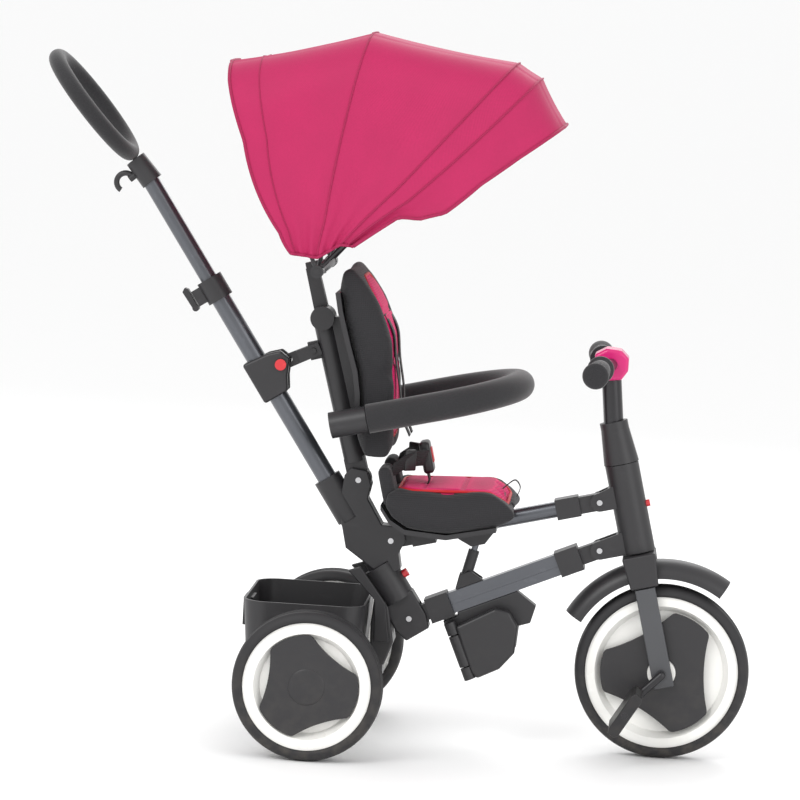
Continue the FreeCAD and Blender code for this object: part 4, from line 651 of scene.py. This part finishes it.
def rounded_outline(half_wide, low, high, corner, count=96):
    """Points round a rectangle with round corners, as (across, along) pairs."""
    outline = []
    for k in range(4):
        centre_across = (half_wide - corner) * (1 if k in (0, 3) else -1)
        centre_along = (high - corner) if k in (0, 1) else (low + corner)
        for i in range(count // 4):
            angle = pi / 2 * (k + i / (count // 4))
            outline.append((centre_across + corner * cos(angle), centre_along + corner * sin(angle)))
    return outline


def outline_gap(across, along, half_wide, low, high, corner):
    """How far a point lies outside a rounded rectangle; negative inside it."""
    middle = (low + high) / 2
    dx = abs(across) - (half_wide - corner)
    dy = abs(along - middle) - ((high - low) / 2 - corner)
    outside = hypot(max(dx, 0), max(dy, 0))
    return outside + min(max(dx, dy), 0) - corner


def mark_inset(pad, chosen):
    """Gives the chosen faces the second finish."""
    for face in pad.data.polygons:
        if chosen(face):
            face.material_index = 1


def piping_on(name, pad, outline, direction, radius, body):
    """A piping cord that lies on a pad along an outline, found by dropping its points onto the pad."""
    tree = BVHTree.FromObject(pad, bpy.context.evaluated_depsgraph_get())
    line = []
    for place in outline:
        hit = tree.ray_cast(place, direction)[0]
        if hit is not None:
            line.append(hit)
    for _ in range(3):
        line = [(line[i - 1] + line[i] * 2 + line[(i + 1) % len(line)]) / 4 for i in range(len(line))]
    cord = tube_along(name, line, radius, closed=True)
    return finish_piece(cord, "piping", body)


back_low, back_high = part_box("backrest_pad")
back_pad = swollen("backrest_pad_padded", "backrest_pad", 5 * MM, 4.5 * MM, 7 * MM)
soften(back_pad, 3)
BACK = dict(half_wide=58 * MM, low=back_low.z + 34 * MM, high=back_high.z - 20 * MM, corner=34 * MM)
sew_channel(
    back_pad, lambda p: outline_gap(p.y, p.z, **BACK) if p.x > -80 * MM else None, 9 * MM, 3 * MM)
for height in (470 * MM, 545 * MM, 615 * MM):
    sew_channel(
        back_pad, lambda p: p.z - height if outline_gap(p.y, p.z, **BACK) < -2 * MM else None, 7 * MM, 2.6 * MM)
back_pad.data.update()
back_pad.data.materials.append(finishes["grey_cloth"])
back_pad.data.materials.append(finishes["pink_cloth"])
mark_inset(back_pad, lambda f: f.normal.x > 0.15 and outline_gap(f.center.y, f.center.z, **BACK) < 0)
back_pad.data.shade_smooth()
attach(back_pad, "backrest")
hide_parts("backrest_pad")
outline = [Vector((0.2, across, along)) for across, along in rounded_outline(count=160, **BACK)]
piping_on("backrest_piping", back_pad, outline, Vector((-1, 0, 0)), 2.2 * MM, "backrest")

seat_low, seat_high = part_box("seat_cushion")
seat_pad = swollen("seat_cushion_padded", "seat_cushion", 4 * MM, 4.5 * MM, 6 * MM)
soften(seat_pad, 3)
SEAT = dict(half_wide=84 * MM, low=seat_low.x + 22 * MM, high=seat_high.x - 20 * MM, corner=30 * MM)
sew_channel(
    seat_pad, lambda p: outline_gap(p.y, p.x, **SEAT) if p.z > 352 * MM else None, 9 * MM, 3 * MM)
for place in (55 * MM, 110 * MM):
    sew_channel(
        seat_pad, lambda p: p.x - place if outline_gap(p.y, p.x, **SEAT) < -2 * MM and p.z > 352 * MM else None,
        7 * MM, 2.4 * MM)
seat_pad.data.update()
seat_pad.data.materials.append(finishes["grey_cloth"])
seat_pad.data.materials.append(finishes["pink_cloth"])
mark_inset(seat_pad, lambda f: f.normal.z > 0.3 and f.center.z > 350 * MM
           and outline_gap(f.center.y, f.center.x, **SEAT) < 0)
seat_pad.data.shade_smooth()
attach(seat_pad, "upper_link")
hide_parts("seat_cushion")
outline = [Vector((along, across, 0.5)) for across, along in rounded_outline(count=160, **SEAT)]
piping_on("seat_piping", seat_pad, outline, Vector((0, 0, -1)), 2.2 * MM, "upper_link")

# ---------------------------------------------------------------- harness
buckle_low, buckle_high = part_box("seat_harness")
buckle_x = 8.6 * MM + 44 * MM
buckle_z = 287 * MM + 122 * MM
crotch_line = smooth_line([
    Vector((buckle_x - 2 * MM, 0, buckle_z - 12 * MM)), Vector((buckle_x + 6 * MM, 0, buckle_z - 30 * MM)),
    Vector((buckle_x + 2 * MM, 0, buckle_z - 46 * MM)),
], 8)
crotch = ribbon_along("crotch_strap", crotch_line, (0, 1, 0), 28 * MM, 2 * MM)
finish_piece(crotch, "webbing", "upper_link")


def rounded_block(name, size, corner, place, segments=3):
    """A block with every edge rounded, turned and put in its place."""
    bm = bmesh.new()
    bmesh.ops.create_cube(bm, size=1.0)
    bmesh.ops.scale(bm, vec=size, verts=bm.verts)
    bmesh.ops.bevel(
        bm, geom=bm.edges[:], offset=corner, segments=segments, profile=0.5, affect="EDGES", material=-1)
    bmesh.ops.transform(bm, matrix=place, verts=bm.verts)
    return piece_from(bm, name)


buckle_place = Matrix.Translation((buckle_x, 0, buckle_z)) @ Matrix.Rotation(radians(-14), 4, "Y")
buckle = rounded_block("harness_buckle", (15 * MM, 40 * MM, 46 * MM), 5 * MM, buckle_place, 4)
finish_piece(buckle, "black_plastic", "upper_link", ["seat_harness"])
button_place = buckle_place @ Matrix.Translation((8 * MM, 0, 2 * MM))
button = rounded_block("buckle_button", (3 * MM, 16 * MM, 22 * MM), 1.2 * MM, button_place)
finish_piece(button, "red", "upper_link")
pull_line = smooth_line([
    Vector((158, 0, 366)) * MM, Vector((168, 0, 376)) * MM, Vector((180, 0, 384)) * MM,
    Vector((188, 0, 374)) * MM, Vector((184, 0, 360)) * MM,
], 8)
pull = ribbon_along("seat_pull_loop", pull_line, (0, 1, 0), 10 * MM, 1.2 * MM)
finish_piece(pull, "webbing", "upper_link")
pad_tree = BVHTree.FromObject(back_pad, bpy.context.evaluated_depsgraph_get())
for side_name, side in SIDES.items():
    points = []
    for height, spread, stand in ((612, 40, 1.2), (585, 40, 3), (545, 39, 5), (505, 36, 7), (470, 30, 12), (440, 22, 24)):
        start = Vector((0.3, side * spread * MM, height * MM))
        hit = pad_tree.ray_cast(start, Vector((-1, 0, 0)))[0]
        points.append(hit + Vector((stand * MM, 0, 0)))
    strap = ribbon_along(f"shoulder_strap_{side_name}", smooth_line(points, 6), (0, 1, 0), 24 * MM, 1.6 * MM)
    finish_piece(strap, "webbing", "backrest")

for side_name, side in SIDES.items():
    lap_line = smooth_line([
        Vector((6, side * 70, 392)) * MM, Vector((22, side * 58, 404)) * MM, Vector((40, side * 40, 410)) * MM,
        Vector((buckle_x / MM, side * 22, 410)) * MM,
    ], 8)
    lap = ribbon_along(f"lap_strap_{side_name}", lap_line, (0.25, 0, 1), 24 * MM, 1.8 * MM)
    finish_piece(lap, "webbing", "upper_link")
    adjuster_place = Matrix.Translation(lap_line[12]) @ Matrix.Rotation(radians(-40 * side), 4, "Z")
    adjuster = rounded_block(
        f"lap_adjuster_{side_name}", (20 * MM, 6 * MM, 30 * MM), 2.2 * MM, adjuster_place)
    finish_piece(adjuster, "black_plastic", "upper_link")

# The cloth bucket rises behind the seat, on both sides of the hinge.
for side_name, side in SIDES.items():
    wing_place = Matrix.Translation(Vector((4, side * 60, 372)) * MM) @ Matrix.Rotation(radians(-14), 4, "Y")
    wing = rounded_block(f"seat_wing_{side_name}", (20 * MM, 66 * MM, 58 * MM), 9 * MM, wing_place, 4)
    swell = wing.modifiers.new("stuffing", "SUBSURF")
    swell.levels = 1
    swell.render_levels = 1
    finish_piece(wing, "grey_cloth", "upper_link")

# ---------------------------------------------------------------- camera, light and floor
TARGET = Vector((9.35, 0, 487.15)) * MM
TURN, RISE, ROLL = radians(3.65), radians(5.88), radians(3.21)
back = Vector((sin(TURN) * cos(RISE), -cos(TURN) * cos(RISE), sin(RISE)))
right = Vector((0, 0, 1)).cross(back).normalized()
up = back.cross(right)
tilted_right = right * cos(ROLL) + up * sin(ROLL)
tilted_up = up * cos(ROLL) - right * sin(ROLL)
camera_data = bpy.data.cameras.new("camera")
camera_data.sensor_width = 36.0
camera_data.lens = 189.9
camera = bpy.data.objects.new("camera", camera_data)
bpy.context.scene.collection.objects.link(camera)
turn = Matrix((tilted_right, tilted_up, back)).transposed().to_4x4()
camera.matrix_world = Matrix.Translation(TARGET + back * 6.0) @ turn
bpy.context.scene.camera = camera

floor_mesh = bmesh.new()
bmesh.ops.create_grid(floor_mesh, x_segments=1, y_segments=1, size=400.0)
floor = piece_from(floor_mesh, "floor")
floor_material, floor_tree, floor_shader = new_material("pale_floor")
floor_shader.inputs["Base Color"].default_value = linear(250, 250, 250)
floor_shader.inputs["Roughness"].default_value = 0.7
floor.data.materials.append(floor_material)


def add_light(name, place, size, power):
    """A soft square light that faces the middle of the tricycle."""
    data = bpy.data.lights.new(name, "AREA")
    data.size = size
    data.energy = power
    light = bpy.data.objects.new(name, data)
    bpy.context.scene.collection.objects.link(light)
    way = Vector(place) - TARGET
    light.matrix_world = Matrix.Translation(place) @ way.to_track_quat("Z", "Y").to_matrix().to_4x4()


add_light("key_light", (-1.6, -2.6, 2.6), 1.6, 46)
add_light("fill_light", (2.4, -2.2, 1.4), 2.0, 20)
add_light("back_light", (0.4, 2.4, 2.4), 2.0, 34)
world = bpy.data.worlds.new("studio")
world.use_nodes = True
world.node_tree.nodes["Background"].inputs["Color"].default_value = (1.0, 1.0, 1.0, 1.0)
world.node_tree.nodes["Background"].inputs["Strength"].default_value = 1.0
bpy.context.scene.world = world
bpy.context.scene.view_settings.view_transform = "Standard"
